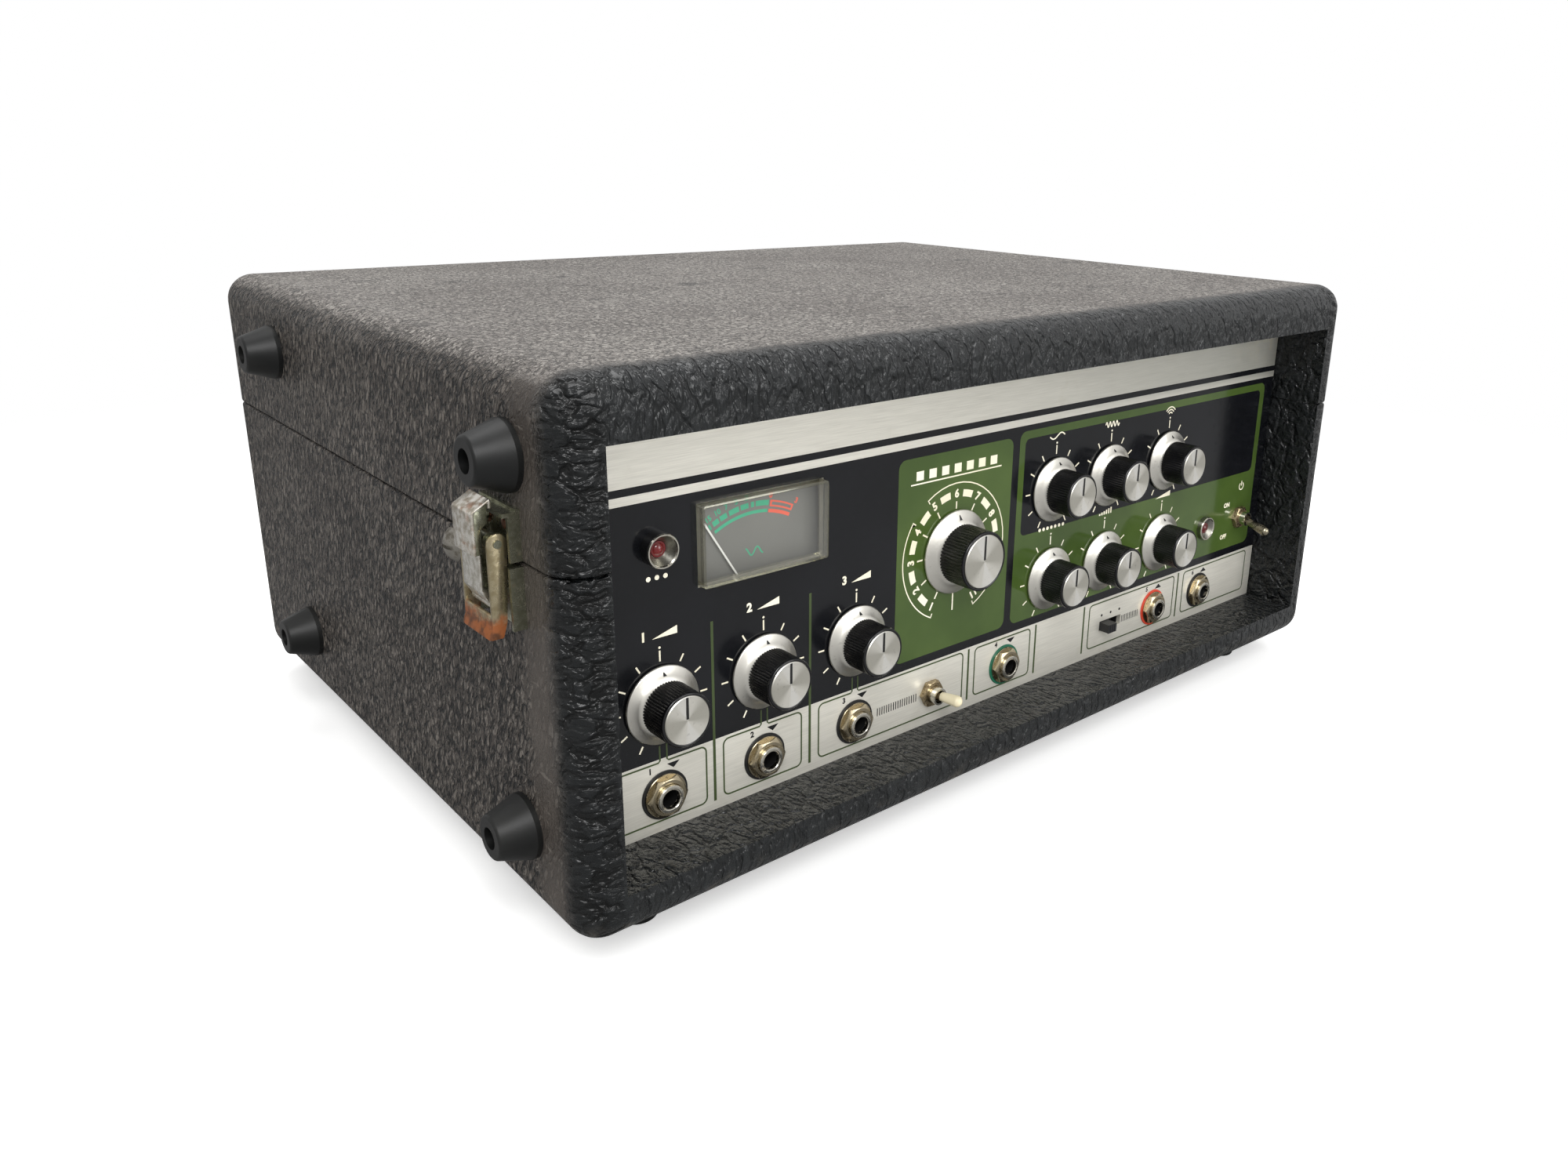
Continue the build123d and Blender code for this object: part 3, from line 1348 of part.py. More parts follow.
# ---- Rear panel and its fittings -----------------------------------------------------------------
gland_x = rear_opening_x + gland_from_opening_middle
fuse_x = rear_opening_x + fuse_from_opening_middle
fitting_z = base + rear_opening_above_base
gland_bore = cord_radius + cord_clearance


def facing_rear(x, z, shape):
    """Stand a piece on the rear panel: its Z comes out of the back of the case."""
    return Pos(x, inner_rear, z) * Rot(-90, 0, 0) * shape


def rear_panel():
    half_w = rear_opening_width / 2 + rear_panel_margin
    half_h = rear_opening_height / 2 + rear_panel_margin
    plate = block((rear_opening_x - half_w, rear_opening_x + half_w),
                  (inner_rear - rear_panel_sheet, inner_rear), (fitting_z - half_h, fitting_z + half_h))
    through = (-rear_panel_sheet - overcut, overcut)
    plate -= facing_rear(gland_x, fitting_z, disc(gland_neck_radius, *through))
    return plate - facing_rear(fuse_x, fitting_z, disc(fuse_radius, *through))


def cord_gland():
    """A flanged grommet; the mains cord passes through its bore."""
    return turned((gland_bore, -gland_back), (gland_neck_radius, -gland_back), (gland_neck_radius, 0),
                  (gland_flange_radius, 0), (gland_flange_radius, gland_flange_height),
                  (gland_tip_radius, gland_front), (gland_bore, gland_front))


def fuse_holder():
    """Body through the panel with a ribbed screw cap."""
    body = disc(fuse_radius, -fuse_depth, 0)
    slot = block((-fuse_slot_half, fuse_slot_half), (-fuse_cap_radius, fuse_cap_radius),
                 (fuse_cap_height - 2 * fuse_slot_half, fuse_cap_height + overcut))
    return body + (fluted(fuse_cap_radius, 0, fuse_cap_height) - slot)


write("rear_panel", rear_panel())
write("cord_gland", facing_rear(gland_x, fitting_z, cord_gland()))
write("fuse_holder", facing_rear(fuse_x, fitting_z, fuse_holder()))
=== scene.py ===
# %% [markdown]
# # A tape echo unit, dressed over its CAD frame
#
# The frame gives every solid at its real size and place, and says what moves. This lesson gives each
# surface its finish, and builds finer pieces over the solids that deserve more than a finish. All
# shapes are worked out in millimetres, in the frame's own axes: +X right, -Y out of the panel, +Z up.

# %% Load the frame
import json

import bmesh
import bpy
import numpy as np
from mathutils import Euler, Matrix, Vector


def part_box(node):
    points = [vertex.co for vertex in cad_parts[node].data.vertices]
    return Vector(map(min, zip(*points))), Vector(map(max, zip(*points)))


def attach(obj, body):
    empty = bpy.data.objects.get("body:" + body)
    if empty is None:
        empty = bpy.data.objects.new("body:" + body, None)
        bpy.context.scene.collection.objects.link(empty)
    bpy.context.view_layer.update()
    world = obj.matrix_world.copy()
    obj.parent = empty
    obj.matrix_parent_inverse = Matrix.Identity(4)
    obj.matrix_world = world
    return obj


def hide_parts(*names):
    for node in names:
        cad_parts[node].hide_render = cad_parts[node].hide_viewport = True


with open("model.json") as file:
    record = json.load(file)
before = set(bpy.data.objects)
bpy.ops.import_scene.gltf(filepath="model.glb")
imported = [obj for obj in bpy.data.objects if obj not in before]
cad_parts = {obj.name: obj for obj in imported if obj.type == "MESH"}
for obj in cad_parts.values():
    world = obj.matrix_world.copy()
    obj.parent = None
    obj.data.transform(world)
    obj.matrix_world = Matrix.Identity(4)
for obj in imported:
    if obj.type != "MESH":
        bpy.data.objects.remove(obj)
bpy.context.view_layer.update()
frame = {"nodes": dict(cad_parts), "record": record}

MM = 0.001
bodies_of = {node: body for body, nodes in frame["record"]["behaviour"]["bodies"].items() for node in nodes}


def box_mm(node):
    """The lowest and highest corner of a node, in millimetres."""
    low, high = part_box(node)
    return np.array(low) / MM, np.array(high) / MM


# %% [markdown]
# ## The camera
#
# The unit is seen from its front left corner, a little above the lid. The lens was found by fitting
# straight edges, so place, turn and lens are plain numbers here. The small shift moves the picture's
# middle, as a crop does.

# %% Camera
CAMERA_PLACE = (-0.33344, -0.41787, 0.23897)
CAMERA_TURN = (72.3142, -1.0872, -41.3597)
CAMERA_LENS = 27.2455
CAMERA_SHIFT = (-0.0524, -0.0395)


def show(made):
    """Put a new object into the scene."""
    bpy.context.scene.collection.objects.link(made)
    return made


lens = bpy.data.cameras.new("view")
lens.sensor_width, lens.lens, lens.clip_start = 36, CAMERA_LENS, 0.01
lens.shift_x, lens.shift_y = CAMERA_SHIFT
camera = show(bpy.data.objects.new("view", lens))
camera.location = CAMERA_PLACE
camera.rotation_euler = Euler(np.radians(CAMERA_TURN))
bpy.context.scene.camera = camera
bpy.context.scene.view_settings.view_transform = "Standard"
print("camera of", CAMERA_LENS, "mm at", CAMERA_PLACE)


# %% [markdown]
# ## Shader maths as plain Python
#
# A finish is a small graph of nodes. Wiring it by hand is hard to read, so one class wraps a socket
# and turns arithmetic into Math nodes. Everything else, such as noise or a colour mix, goes through
# `node`, which sets a node's settings first and then fills its sockets with values or wires. All
# places are in millimetres, so a noise of scale 0.5 has a lump about every two millimetres.

# %% Wires
def linear(code):
    """A screen colour such as 4a4441 as linear red, green, blue and 1."""
    parts = np.array([int(code[i:i + 2], 16) for i in (0, 2, 4)]) / 255
    return (*np.where(parts <= 0.04045, parts / 12.92, ((parts + 0.055) / 1.055) ** 2.4), 1.0)


def fill(tree, inputs, values):
    """Give each named input its wire or its value."""
    for name, value in values.items():
        if isinstance(value, Wire):
            tree.links.new(value.socket, inputs[name])
        else:
            inputs[name].default_value = value


class Wire:
    """A shader socket with arithmetic: the operators set after the class each add a Math node."""

    def __init__(self, tree, socket):
        self.tree = tree
        self.socket = socket

    def node(self, kind, sockets, out=0, **settings):
        made = self.tree.nodes.new("ShaderNode" + kind)
        for name, value in settings.items():
            setattr(made, name, value)
        fill(self.tree, made.inputs, sockets)
        return Wire(self.tree, made.outputs[out])

    def math(self, operation, *values):
        return self.node("Math", dict(enumerate(values)), operation=operation)

    def __rsub__(self, other):
        return self.math("SUBTRACT", other, self)

    def step(self, low, high):
        """0 below low, 1 above high, and smooth between. With low above high it falls instead."""
        return self.node("MapRange", {"Value": self, "From Min": low, "From Max": high},
                         interpolation_type="SMOOTHSTEP")

    def mix(self, one, other):
        """This wire, from 0 to 1, fades from one colour to the other; a colour is a code or a wire."""
        one, other = (linear(colour) if isinstance(colour, str) else colour for colour in (one, other))
        return self.node("Mix", {0: self, 6: one, 7: other}, out=2, data_type="RGBA")

    def stretched(self, *scale):
        """This place with its x, y and z multiplied."""
        return self.node("VectorMath", {0: self, 1: scale}, operation="MULTIPLY")

    def moved(self, other):
        return self.node("VectorMath", {0: self, 1: other}, operation="ADD")

    def axes(self):
        split = self.node("SeparateXYZ", {0: self})
        return [Wire(self.tree, socket) for socket in split.socket.node.outputs]

    def noise(self, scale, detail=2.0, out=0, roughness=0.5):
        """Cloudy values from 0 to 1 at this place; scale is in lumps per unit."""
        return self.node("TexNoise", {"Vector": self, "Scale": scale, "Detail": detail,
                                      "Roughness": roughness}, out=out)

    def cracks(self, scale):
        """How far this place is from the nearest edge between Voronoi cells."""
        return self.node("TexVoronoi", {"Vector": self, "Scale": scale}, feature="DISTANCE_TO_EDGE")

    def bump(self, relief):
        """The normal of a surface with this height, where 1 stands relief millimetres high."""
        return self.node("Bump", {"Height": self, "Distance": relief * MM, "Strength": 1.0})


print("mid grey 808080 as light", round(linear("808080")[0], 3))


# %% Operators, and the start and end of a finish
OPERATORS = {"__add__": "ADD", "__radd__": "ADD", "__sub__": "SUBTRACT", "__mul__": "MULTIPLY",
             "__rmul__": "MULTIPLY", "__truediv__": "DIVIDE", "__pow__": "POWER",
             "most": "MAXIMUM", "least": "MINIMUM"}
for method, operation in OPERATORS.items():
    setattr(Wire, method, lambda self, other, operation=operation: self.math(operation, self, other))


def start_finish(name):
    """A new material, and the wire of its own place in millimetres."""
    made = bpy.data.materials.new(name)
    made.use_nodes = True
    made.node_tree.nodes.clear()
    source = made.node_tree.nodes.new("ShaderNodeTexCoord")
    return made, Wire(made.node_tree, source.outputs["Object"]).stretched(*[1 / MM] * 3)


def end_finish(made, **sockets):
    """Close a material with a Principled shader; a socket is named in lower case with _ for a space."""
    tree = made.node_tree
    shader = tree.nodes.new("ShaderNodeBsdfPrincipled")
    fill(tree, {socket.name.lower().replace(" ", "_"): socket for socket in shader.inputs}, sockets)
    result = tree.nodes.new("ShaderNodeOutputMaterial")
    tree.links.new(shader.outputs[0], result.inputs["Surface"])
    return made


def blend_shaders(tree, share, one, other, result):
    """Show one shader where the share is 0 and the other where it is 1."""
    blend = tree.nodes.new("ShaderNodeMixShader")
    for start, end in zip((share.socket, one.outputs[0], other.outputs[0], blend.outputs[0]),
                          (*blend.inputs, result.inputs["Surface"])):
        tree.links.new(start, end)


print("operators on a wire", sorted(set(OPERATORS.values())))


# %% [markdown]
# ## Surfaces from numbers
#
# A piece is one or more parametric grids: whole arrays of points, with the faces between neighbours.
# A turned piece is a profile of (radius, height) points carried round an axis. Pieces that stand on
# the panel are worked out lying flat, with their height along Z, and are then stood up against it.

# %% Grids, prisms and turned shapes
TURN = 2 * np.pi
SAME_PLACE = 1e-7    # points closer than this, in metres, are one point


def sheet_of(points):
    """A surface as (points, faces) from a grid of places, with its last row joined to its first."""
    rows, columns = points.shape[:2]
    i, j = np.arange(rows)[:, None] * columns, np.arange(columns - 1)[None, :]
    below = (i + columns) % (rows * columns)
    corners = np.stack([i + j, i + j + 1, below + j + 1, below + j], -1)
    return points.reshape(-1, 3), corners.reshape(-1, 4)


def stacked(rings):
    """A closed prism from rings of (x, y) points, each with its height, all of one length."""
    count = len(rings[0][0])
    points = np.concatenate([np.column_stack([flat, np.full(count, height)]) for flat, height in rings])
    last = len(points) - count
    faces = [list(range(count))[::-1], list(range(last, last + count))]
    faces += [[start + i, start + (i + 1) % count, start + count + (i + 1) % count, start + count + i]
              for start in range(0, last, count) for i in range(count)]
    return points, faces


def turned(profile, sides=64):
    """A profile of (radius, height) points carried round Z, x = r cos a and y = r sin a."""
    radius, height = np.array(profile, float).T
    angle = np.linspace(0, TURN, sides, endpoint=False)[:, None]
    points = np.stack([radius * np.cos(angle), radius * np.sin(angle), height + 0 * angle], -1)
    return sheet_of(points)


def arc(x, z, radius, start, end, count=8):
    """Points on a circle between two angles in degrees."""
    angle = np.radians(np.linspace(start, end, count))
    return [(x + radius * c, z + radius * s) for c, s in zip(np.cos(angle), np.sin(angle))]


def joined(*parts):
    """Several (points, faces) pairs as one."""
    starts = np.cumsum([0] + [len(points) for points, _ in parts[:-1]])
    faces = [list(face + start) for (_, part), start in zip(parts, starts) for face in part]
    return np.concatenate([points for points, _ in parts]), faces


def placed(part, matrix):
    """The same surface with its points carried through a 4 x 4 matrix, in millimetres."""
    points, faces = part
    turn = np.array(matrix)
    return points @ turn[:3, :3].T + turn[:3, 3], faces


print("a turned ring has", len(turned([(1, 0), (2, 0), (1, 1), (1, 0)])[0]), "points")


# %% Pieces on the frame's bodies
def dress(made, finish, body, replaces=()):
    """Give a piece its finish, hang it on its body's empty, and hide the solids that it stands for."""
    made.data.materials.clear()
    made.data.materials.append(finish)
    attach(made, body)
    if replaces:
        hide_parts(*replaces)
    return made


def piece(name, part, finish, body, replaces=(), sharp=35):
    """A mesh object from (points, faces) in millimetres, with doubles merged and faces outwards."""
    points, faces = part
    mesh = bpy.data.meshes.new(name)
    mesh.from_pydata((points * MM).tolist(), [], [list(map(int, face)) for face in faces])
    work = bmesh.new()
    work.from_mesh(mesh)
    bmesh.ops.remove_doubles(work, verts=work.verts, dist=SAME_PLACE)
    bmesh.ops.dissolve_degenerate(work, edges=work.edges, dist=SAME_PLACE)
    bmesh.ops.recalc_face_normals(work, faces=work.faces)
    work.to_mesh(mesh)
    work.free()
    mesh.shade_smooth()
    mesh.set_sharp_from_angle(angle=np.radians(sharp))
    return dress(show(bpy.data.objects.new(name, mesh)), finish, body, replaces)


PANEL_FACE = box_mm("front_panel")[0][1]
BASE = box_mm("lower_case")[0][2]


def on_panel(x, z):
    """Stand a flat piece on the panel: its X is right, its Y is up, and its Z comes out of the face."""
    return Matrix.Translation((x, PANEL_FACE, z)) @ Matrix.Rotation(np.pi / 2, 4, "X")


def middle(node):
    low, high = box_mm(node)
    return (low + high) / 2


print("panel face at y", PANEL_FACE, "case underside at z", BASE)

# %% [markdown]
# ## Leathercloth
#
# The case is board covered in a cloth-backed vinyl with an embossed bark grain: long narrow pebbles
# with dark creases between them. The edges of Voronoi cells make such creases. The cells lean and are
# drawn out along the height on the sides. They lie across the boards of the front frame, where the
# cloth is stretched round narrow edges and shines more.

# %% Leathercloth
EDGE_ZONE = 11.0     # how far the rounded front edges reach back
RECESS_ZONE = 30.0   # how far the frame's inner walls reach back
WORN_ZONE = 34.0     # how far the worn strip of the sides reaches back
# Each pair is where a zone starts and where it is full: the opening's half width, its lower and upper
# edge, the upright boards and the side walls.
OPENING, OPENING_LOW, OPENING_HIGH = (198, 195), (13.5, 16.5), (181, 178)
UPRIGHTS, SIDES = (184, 188), (193, 197)


def bark(place, scale, loose):
    """Height of a bark grain: streaks of a stretched noise, cut by creases round loose cells."""
    drift = place.noise(scale * 1.1, detail=2, out=1).moved((-0.5, -0.5, -0.5))
    bent = place.moved(drift.stretched(loose, loose, loose))
    streaks = bent.noise(scale * 1.3, detail=2, roughness=0.6).step(0.42, 0.56)
    creases = bent.cracks(scale).step(0.0, 0.17)
    fine = bent.noise(scale * 3.4, detail=2).step(0.3, 0.62)
    return streaks * 0.42 + creases * 0.4 + fine * 0.18


def leathercloth():
    """Brown-grey on the walls, paler on the lid's top with painted light, black and glossier round the
    front frame.

    Each zone is a wire from 0 to 1: `on_front` holds the frame's rim and inner walls, of which
    `upright` and `rail` are the upright and level boards, `level` is the lid's top, and `calm` is the
    worn strip of the sides behind the rim.
    """
    made, place = start_finish("leathercloth")
    x, y, z = place.axes()
    aside = x.math("ABSOLUTE", x)
    front, top = box_mm("lower_case")[0][1], box_mm("lid")[1][2]
    rim = y.step(front + EDGE_ZONE + 3, front + EDGE_ZONE - 5)
    inside = (aside.step(*OPENING) * z.step(*OPENING_LOW) * z.step(*OPENING_HIGH)
              * y.step(front + RECESS_ZONE, front + RECESS_ZONE - 4))
    on_front = rim.most(inside)
    upright = aside.step(*UPRIGHTS) * on_front
    rail = on_front * (1 - upright)
    level = z.step(top - 5, top - 1) * (1 - on_front)
    leaning = place.node("Mapping", {0: place, "Rotation": (-0.34, 0.1, 0.3)}).stretched(1.0, 1.0, 0.42)
    height = (bark(leaning, 0.46, 2.6) * (1 - on_front)
              + bark(place.stretched(0.55, 0.55, 1.0), 0.16, 4.2) * upright
              + bark(place.stretched(1.0, 0.6, 0.5), 0.19, 4.0) * rail)
    calm = y.step(front + WORN_ZONE, front + WORN_ZONE - 14) * (1 - on_front) * aside.step(*SIDES)
    height = height * (1 - calm * 0.7) + calm * 0.55
    grain = place.noise(2.6, detail=3)
    cloud = place.noise(0.018, detail=4).step(0.3, 0.7)
    blotch = place.noise(0.07, detail=4).step(0.45, 0.72)
    wiped = place.stretched(1.0, 0.22, 1.0).noise(0.5, detail=4).step(0.63, 0.7)
    brown = cloud.mix("3b3530", "49433d")
    brown = (blotch * 0.4).mix(brown, "524b45")
    brown = (wiped * 0.4).mix(brown, "7a736b")
    # Painted light: the lid's top gets a paler colour than the walls, as if lit from above; its darker
    # patches are dirt.
    painted_light_top = cloud.mix("7c7671", "918b85")
    painted_light_top = place.noise(0.05, detail=5).step(0.62, 0.74).mix(painted_light_top, "3d3a38")
    ground = level.mix(brown, painted_light_top)
    # Painted shade darkens the creases and painted highlights lighten the ridges of the grain; on the lid's
    # top both are paler, with its painted light.
    ground = height.step(0.57, 0.4).mix(ground, level.mix("0b0a09", "54504c"))
    ground = (height.step(0.78, 0.95) * 0.45).mix(ground, level.mix("857e76", "c2bdb5"))
    dusty = (z.step(24, 15) * inside * place.noise(0.12, detail=5).step(0.5, 0.7)) * 0.5
    # Painted highlights lighten the raised grain of the black frame a little, and painted light makes the
    # level boards lighter than the uprights.
    black = height.step(0.3, 0.8).mix("030404", "121415")
    black = (rail * 0.35).mix(black, "303233")
    black = dusty.mix(black, "57524a")
    colour = on_front.mix(ground, black)
    roughness = 0.5 - on_front * 0.22 + (grain - 0.5) * 0.14 - cloud * 0.05 + dusty * 0.3
    relief = height * (1.5 + on_front * 0.5) + grain * 0.04
    return end_finish(made, base_color=colour, roughness=roughness, normal=relief.bump(1.0),
                      specular_ior_level=0.34)


print("cloth zones reach back", EDGE_ZONE, RECESS_ZONE, WORN_ZONE, "mm")


# %% [markdown]
# ## Metals, rubber and plastics
#
# Old hardware is never one colour. Plating goes dull and brown, and rust starts where fingers take
# the plating off. Each finish below starts from its clean colour and lays stains over it, with the
# roughness following the stain.

# %% Recipes for metal, plastic and rubber
def stained_metal(name, clean, stain, amount, size, roughness):
    """Plated metal with a stain: amount from 0 to 1 is how much of it the stain covers."""
    made, place = start_finish(name)
    patch = place.noise(size, detail=5, roughness=0.62).step(0.66 - amount * 0.4, 0.78 - amount * 0.36)
    speck = place.noise(size * 6, detail=3).step(0.62, 0.7)
    colour = (patch.most(speck * 0.5)).mix(clean, stain)
    fine = place.noise(9.0, detail=2)
    return end_finish(made, base_color=colour, metallic=1 - patch * 0.45,
                      roughness=roughness + patch * 0.28 + (fine - 0.5) * 0.12,
                      normal=(patch * -0.6 + fine * 0.25).bump(0.02))


def moulded(name, colour, worn, roughness, lump=0.5, relief=0.01, **constants):
    """Moulded plastic or rubber: a slow change of colour and a fine matt skin."""
    made, place = start_finish(name)
    cloud = place.noise(0.11 * lump, detail=4)
    skin = place.noise(5.0, detail=3)
    return end_finish(made, base_color=cloud.step(0.35, 0.75).mix(colour, worn),
                      roughness=roughness + (skin - 0.5) * 0.14 + (cloud - 0.5) * 0.1,
                      normal=skin.bump(relief), **constants)


def drawn_metal(name, clean, streak, roughness, along):
    """Brushed metal: noise drawn out along one axis shows in colour, roughness and relief."""
    made, place = start_finish(name)
    fine = place.stretched(*along).noise(3.2, detail=4)
    broad = place.stretched(*along).noise(0.5, detail=3)
    return end_finish(made, base_color=(fine * 0.6 + broad * 0.4).mix(streak, clean), metallic=1.0,
                      roughness=roughness + (fine - 0.5) * 0.2, normal=fine.bump(0.006))


# The x and the z over which the corroded corner comes in, and the right part of the wide band that is
# darkened with painted shade.
CORNER, PAINTED_SHADE_BAND = ((150, 182), (141, 160)), ((-120, 190), (136, 142))


def panel_metal():
    """Brushed along the panel, with a cloudy corroded patch near its upper right corner and painted shade
    over the right part of its wide band.
    """
    made, place = start_finish("panel_aluminium")
    x, _, z = place.axes()
    fine = place.stretched(0.03, 1, 1).noise(3.2, detail=4)
    broad = place.stretched(0.03, 1, 1).noise(0.5, detail=3)
    corner = x.step(*CORNER[0]) * z.step(*CORNER[1]) * place.noise(0.25, detail=5).step(0.45, 0.62)
    stain = (place.noise(0.06, detail=5).step(0.6, 0.75) * 0.25).most(corner * 0.55)
    bare = (fine * 0.7 + broad * 0.3).step(0.1, 0.9).mix("cfccc1", "ece9de")
    # Painted shade: the wide band grows darker towards its right end.
    painted_shade = x.step(*PAINTED_SHADE_BAND[0]) * z.step(*PAINTED_SHADE_BAND[1]) * 0.6
    bare = painted_shade.mix(bare, "7f817a")
    return end_finish(made, base_color=stain.mix(bare, "a89f8a"), metallic=0.45 - stain * 0.3,
                      roughness=0.36 + (fine - 0.5) * 0.2 + stain * 0.2, normal=fine.bump(0.008))


def latch_metal(name, clean, brown, rusty=0.0, below=0.0):
    """Nickel gone brown in clouds, with rust in spots, and all over below a height in millimetres."""
    made, place = start_finish(name)
    z = place.axes()[2]
    patch = place.noise(0.28, detail=5, roughness=0.65)
    low = (z + (patch - 0.5) * 9).step(below + 1.5, below - 2.5)
    spots = patch.step(0.66 - rusty * 0.2, 0.76 - rusty * 0.14) * 0.8
    rust = low.most(spots * rusty)
    cloud = place.noise(0.5, detail=4).step(0.36, 0.68)
    colour = cloud.mix(clean, brown)
    orange = place.noise(0.34, detail=4).step(0.35, 0.62).mix("55321a", "8c4f24")
    return end_finish(made, base_color=rust.mix(colour, orange), metallic=0.95 - rust * 0.75,
                      roughness=0.25 + rust * 0.35 + cloud * 0.12,
                      normal=(rust * -0.4 + cloud * 0.2 + place.noise(3.0) * 0.1).bump(0.03))


# The panel's duller band is painted shade.
print("the panel's duller band covers x", PAINTED_SHADE_BAND[0], "z", PAINTED_SHADE_BAND[1])

# %% Every finish by the name of its slot
# The frame's materials hold these names already, so Blender adds a number that is cut off here.
FINISHES = {made.name.split(".")[0]: made for made in (
    leathercloth(),
    moulded("foot_rubber", "0c0d0d", "1b1b19", 0.44, relief=0.02, specular_ior_level=0.35),
    stained_metal("plated_steel", "96928a", "5f5a50", 0.35, 0.2, 0.36),
    latch_metal("latch_nickel", "a5a692", "7f7f6c", 0.25),
    moulded("strap_vinyl", "17181a", "232427", 0.46, lump=2.0, relief=0.05),
    panel_metal(),
    moulded("knob_black", "08080a", "101013", 0.2, relief=0.002),
    stained_metal("control_metal", "b7b3a8", "8a8478", 0.3, 0.3, 0.3),
    stained_metal("jack_nickel", "cfcabc", "a2977f", 0.35, 0.45, 0.2),
    moulded("jack_fibre", "0d0d0e", "19191a", 0.5),
    stained_metal("toggle_chrome", "d8d4c8", "9c917c", 0.25, 0.4, 0.14),
    moulded("ivory_sleeve", "e6dcbc", "d6c79b", 0.38),
    moulded("switch_body", "1a1a1b", "27282a", 0.5),
    moulded("meter_housing", "141415", "1f2021", 0.45),
    moulded("dial_card", "686862", "72726b", 0.55, lump=0.2),
    moulded("needle_white", "e9e8e2", "d8d7d0", 0.4),
    moulded("lens_red", "4d0508", "6e0c0e", 0.12, coat_weight=0.5),
    moulded("clear_cover", "c9c9c2", "d6d6d0", 0.08, alpha=0.3),
    stained_metal("chassis_steel", "a8a69c", "8d8a7e", 0.4, 0.08, 0.42),
    moulded("deck_black", "1b1c1d", "242526", 0.5, relief=0.03),
    drawn_metal("motor_steel", "a9a8a2", "7f7d77", 0.36, (1, 1, 0.05)),
    drawn_metal("pulley_brass", "c9a45a", "a98643", 0.28, (0.2, 0.2, 1.4)),
    drawn_metal("turned_steel", "c9c7c0", "a9a69d", 0.24, (0.2, 0.2, 1.4)),
    moulded("drive_rubber", "161616", "202020", 0.62, relief=0.02),
    moulded("tape_brown", "3b241a", "4a2e20", 0.28),
    moulded("cover_smoke", "3a3632", "45403b", 0.16, alpha=0.55),
    moulded("board_green", "2c5a3a", "356844", 0.4, lump=3.0),
    stained_metal("transformer_iron", "6d655c", "463c33", 0.5, 0.2, 0.45),
)}
LATCH_HOOD = latch_metal("latch_hood", "e3dfd6", "a89f8f", 0.75)
LATCH_LEVER = latch_metal("latch_lever", "b0a588", "93876a", 0.15, below=114.0)
BY_NODE = {side + part: finish for side in ("left_", "right_")
           for part, finish in (("latch_claw", LATCH_HOOD), ("latch_lever", LATCH_LEVER))}
print("finishes", len(FINISHES) + 2)

# %% [markdown]
# ## Finishes on the frame's own solids
#
# A solid whose shape is right keeps its mesh and only takes a finish. The frame names each solid's
# material slot, so one loop dresses them all. Pieces made later hide the solids that they stand for.

# %% Dress the solids
for node, solid in frame["nodes"].items():
    finish = BY_NODE.get(node) or FINISHES[solid.data.materials[0].name]
    solid.material_slots[0].material = finish
print("dressed", len(frame["nodes"]), "solids")

# %% [markdown]
# ## Knobs
#
# A knob of this kind is three parts: a spun aluminium skirt, a black grip with fine flutes all round
# and a metal cap let into its front. The skirt and the cap are turned profiles. The grip is a grid
# whose radius follows a rounded wave, so each flute is real. A spun face has rings too fine to model,
# so a bump waves with the radius. The two bright wedges of light that such rings give are painted
# into the cap's colour as highlights, with painted shade between them.

# %% Knob finishes
FLUTES, RING_PITCH = 56, 0.16
# The direction of the painted highlight on a spun cap.
PAINTED_HIGHLIGHT_AT = np.radians(-14.0)     # clockwise from twelve o'clock


def spun_metal(name, clean, roughness, ring_relief, x, z, wedge=0.0):
    """Aluminium turned about a point of the panel: fine rings, and for wedge above 0 two opposed wedges of
    painted highlight with painted shade between them.
    """
    made, place = start_finish(name)
    across, _, up = place.moved((-x, 0.0, -z)).axes()
    radius = (across * across + up * up) ** 0.5
    rings = radius.math("SINE", radius * (TURN / RING_PITCH)) * 0.5 + 0.5
    uneven = radius.node("CombineXYZ", {0: radius}).noise(2.2, detail=4)
    along = (across * float(np.sin(PAINTED_HIGHLIGHT_AT)) + up * float(np.cos(PAINTED_HIGHLIGHT_AT))) / (radius + 0.01)
    toward_painted_highlight = along.math("ABSOLUTE", along)
    spots = place.noise(0.7, detail=4).step(0.6, 0.8)
    # Painted shade away from the highlight's direction, then the painted highlight in two opposed wedges.
    colour = (toward_painted_highlight.step(0.85, 0.3) * wedge * 0.6).mix(clean, "b0ada0")
    colour = (toward_painted_highlight.step(0.9, 0.99) * wedge).mix(colour, "fffdf6")
    colour = (spots * 0.35).mix(colour, "8f8b82")
    return end_finish(made, base_color=colour, metallic=1.0,
                      roughness=roughness + (uneven - 0.5) * 0.16 + spots * 0.12,
                      normal=(rings * 0.5 + uneven).bump(ring_relief))


MARK_BLACK = moulded("mark_black", "060607", "0c0c0d", 0.45, relief=0.001)
print(FLUTES, "flutes, and rings", RING_PITCH, "mm apart")


# %% Knob shapes
def knob_skirt(outer, inner, rise):
    """A flared dish: rolled rim at the panel, a gentle cone, and an upturned edge at the grip."""
    rim = 0.55
    profile = [(outer - 1.6, 0), (outer - 0.3, 0)] + arc(outer - rim, rim, rim, -60, 70, 7)
    profile += [(outer - 2.0, 0.9 + rise * 0.22), (inner + 1.2, rise * 0.72), (inner - 0.2, rise)]
    profile += [(inner - 1.6, rise), (inner - 1.6, rise - 0.8), (outer - 2.4, 0.6), (outer - 1.6, 0)]
    return turned(profile, 96)


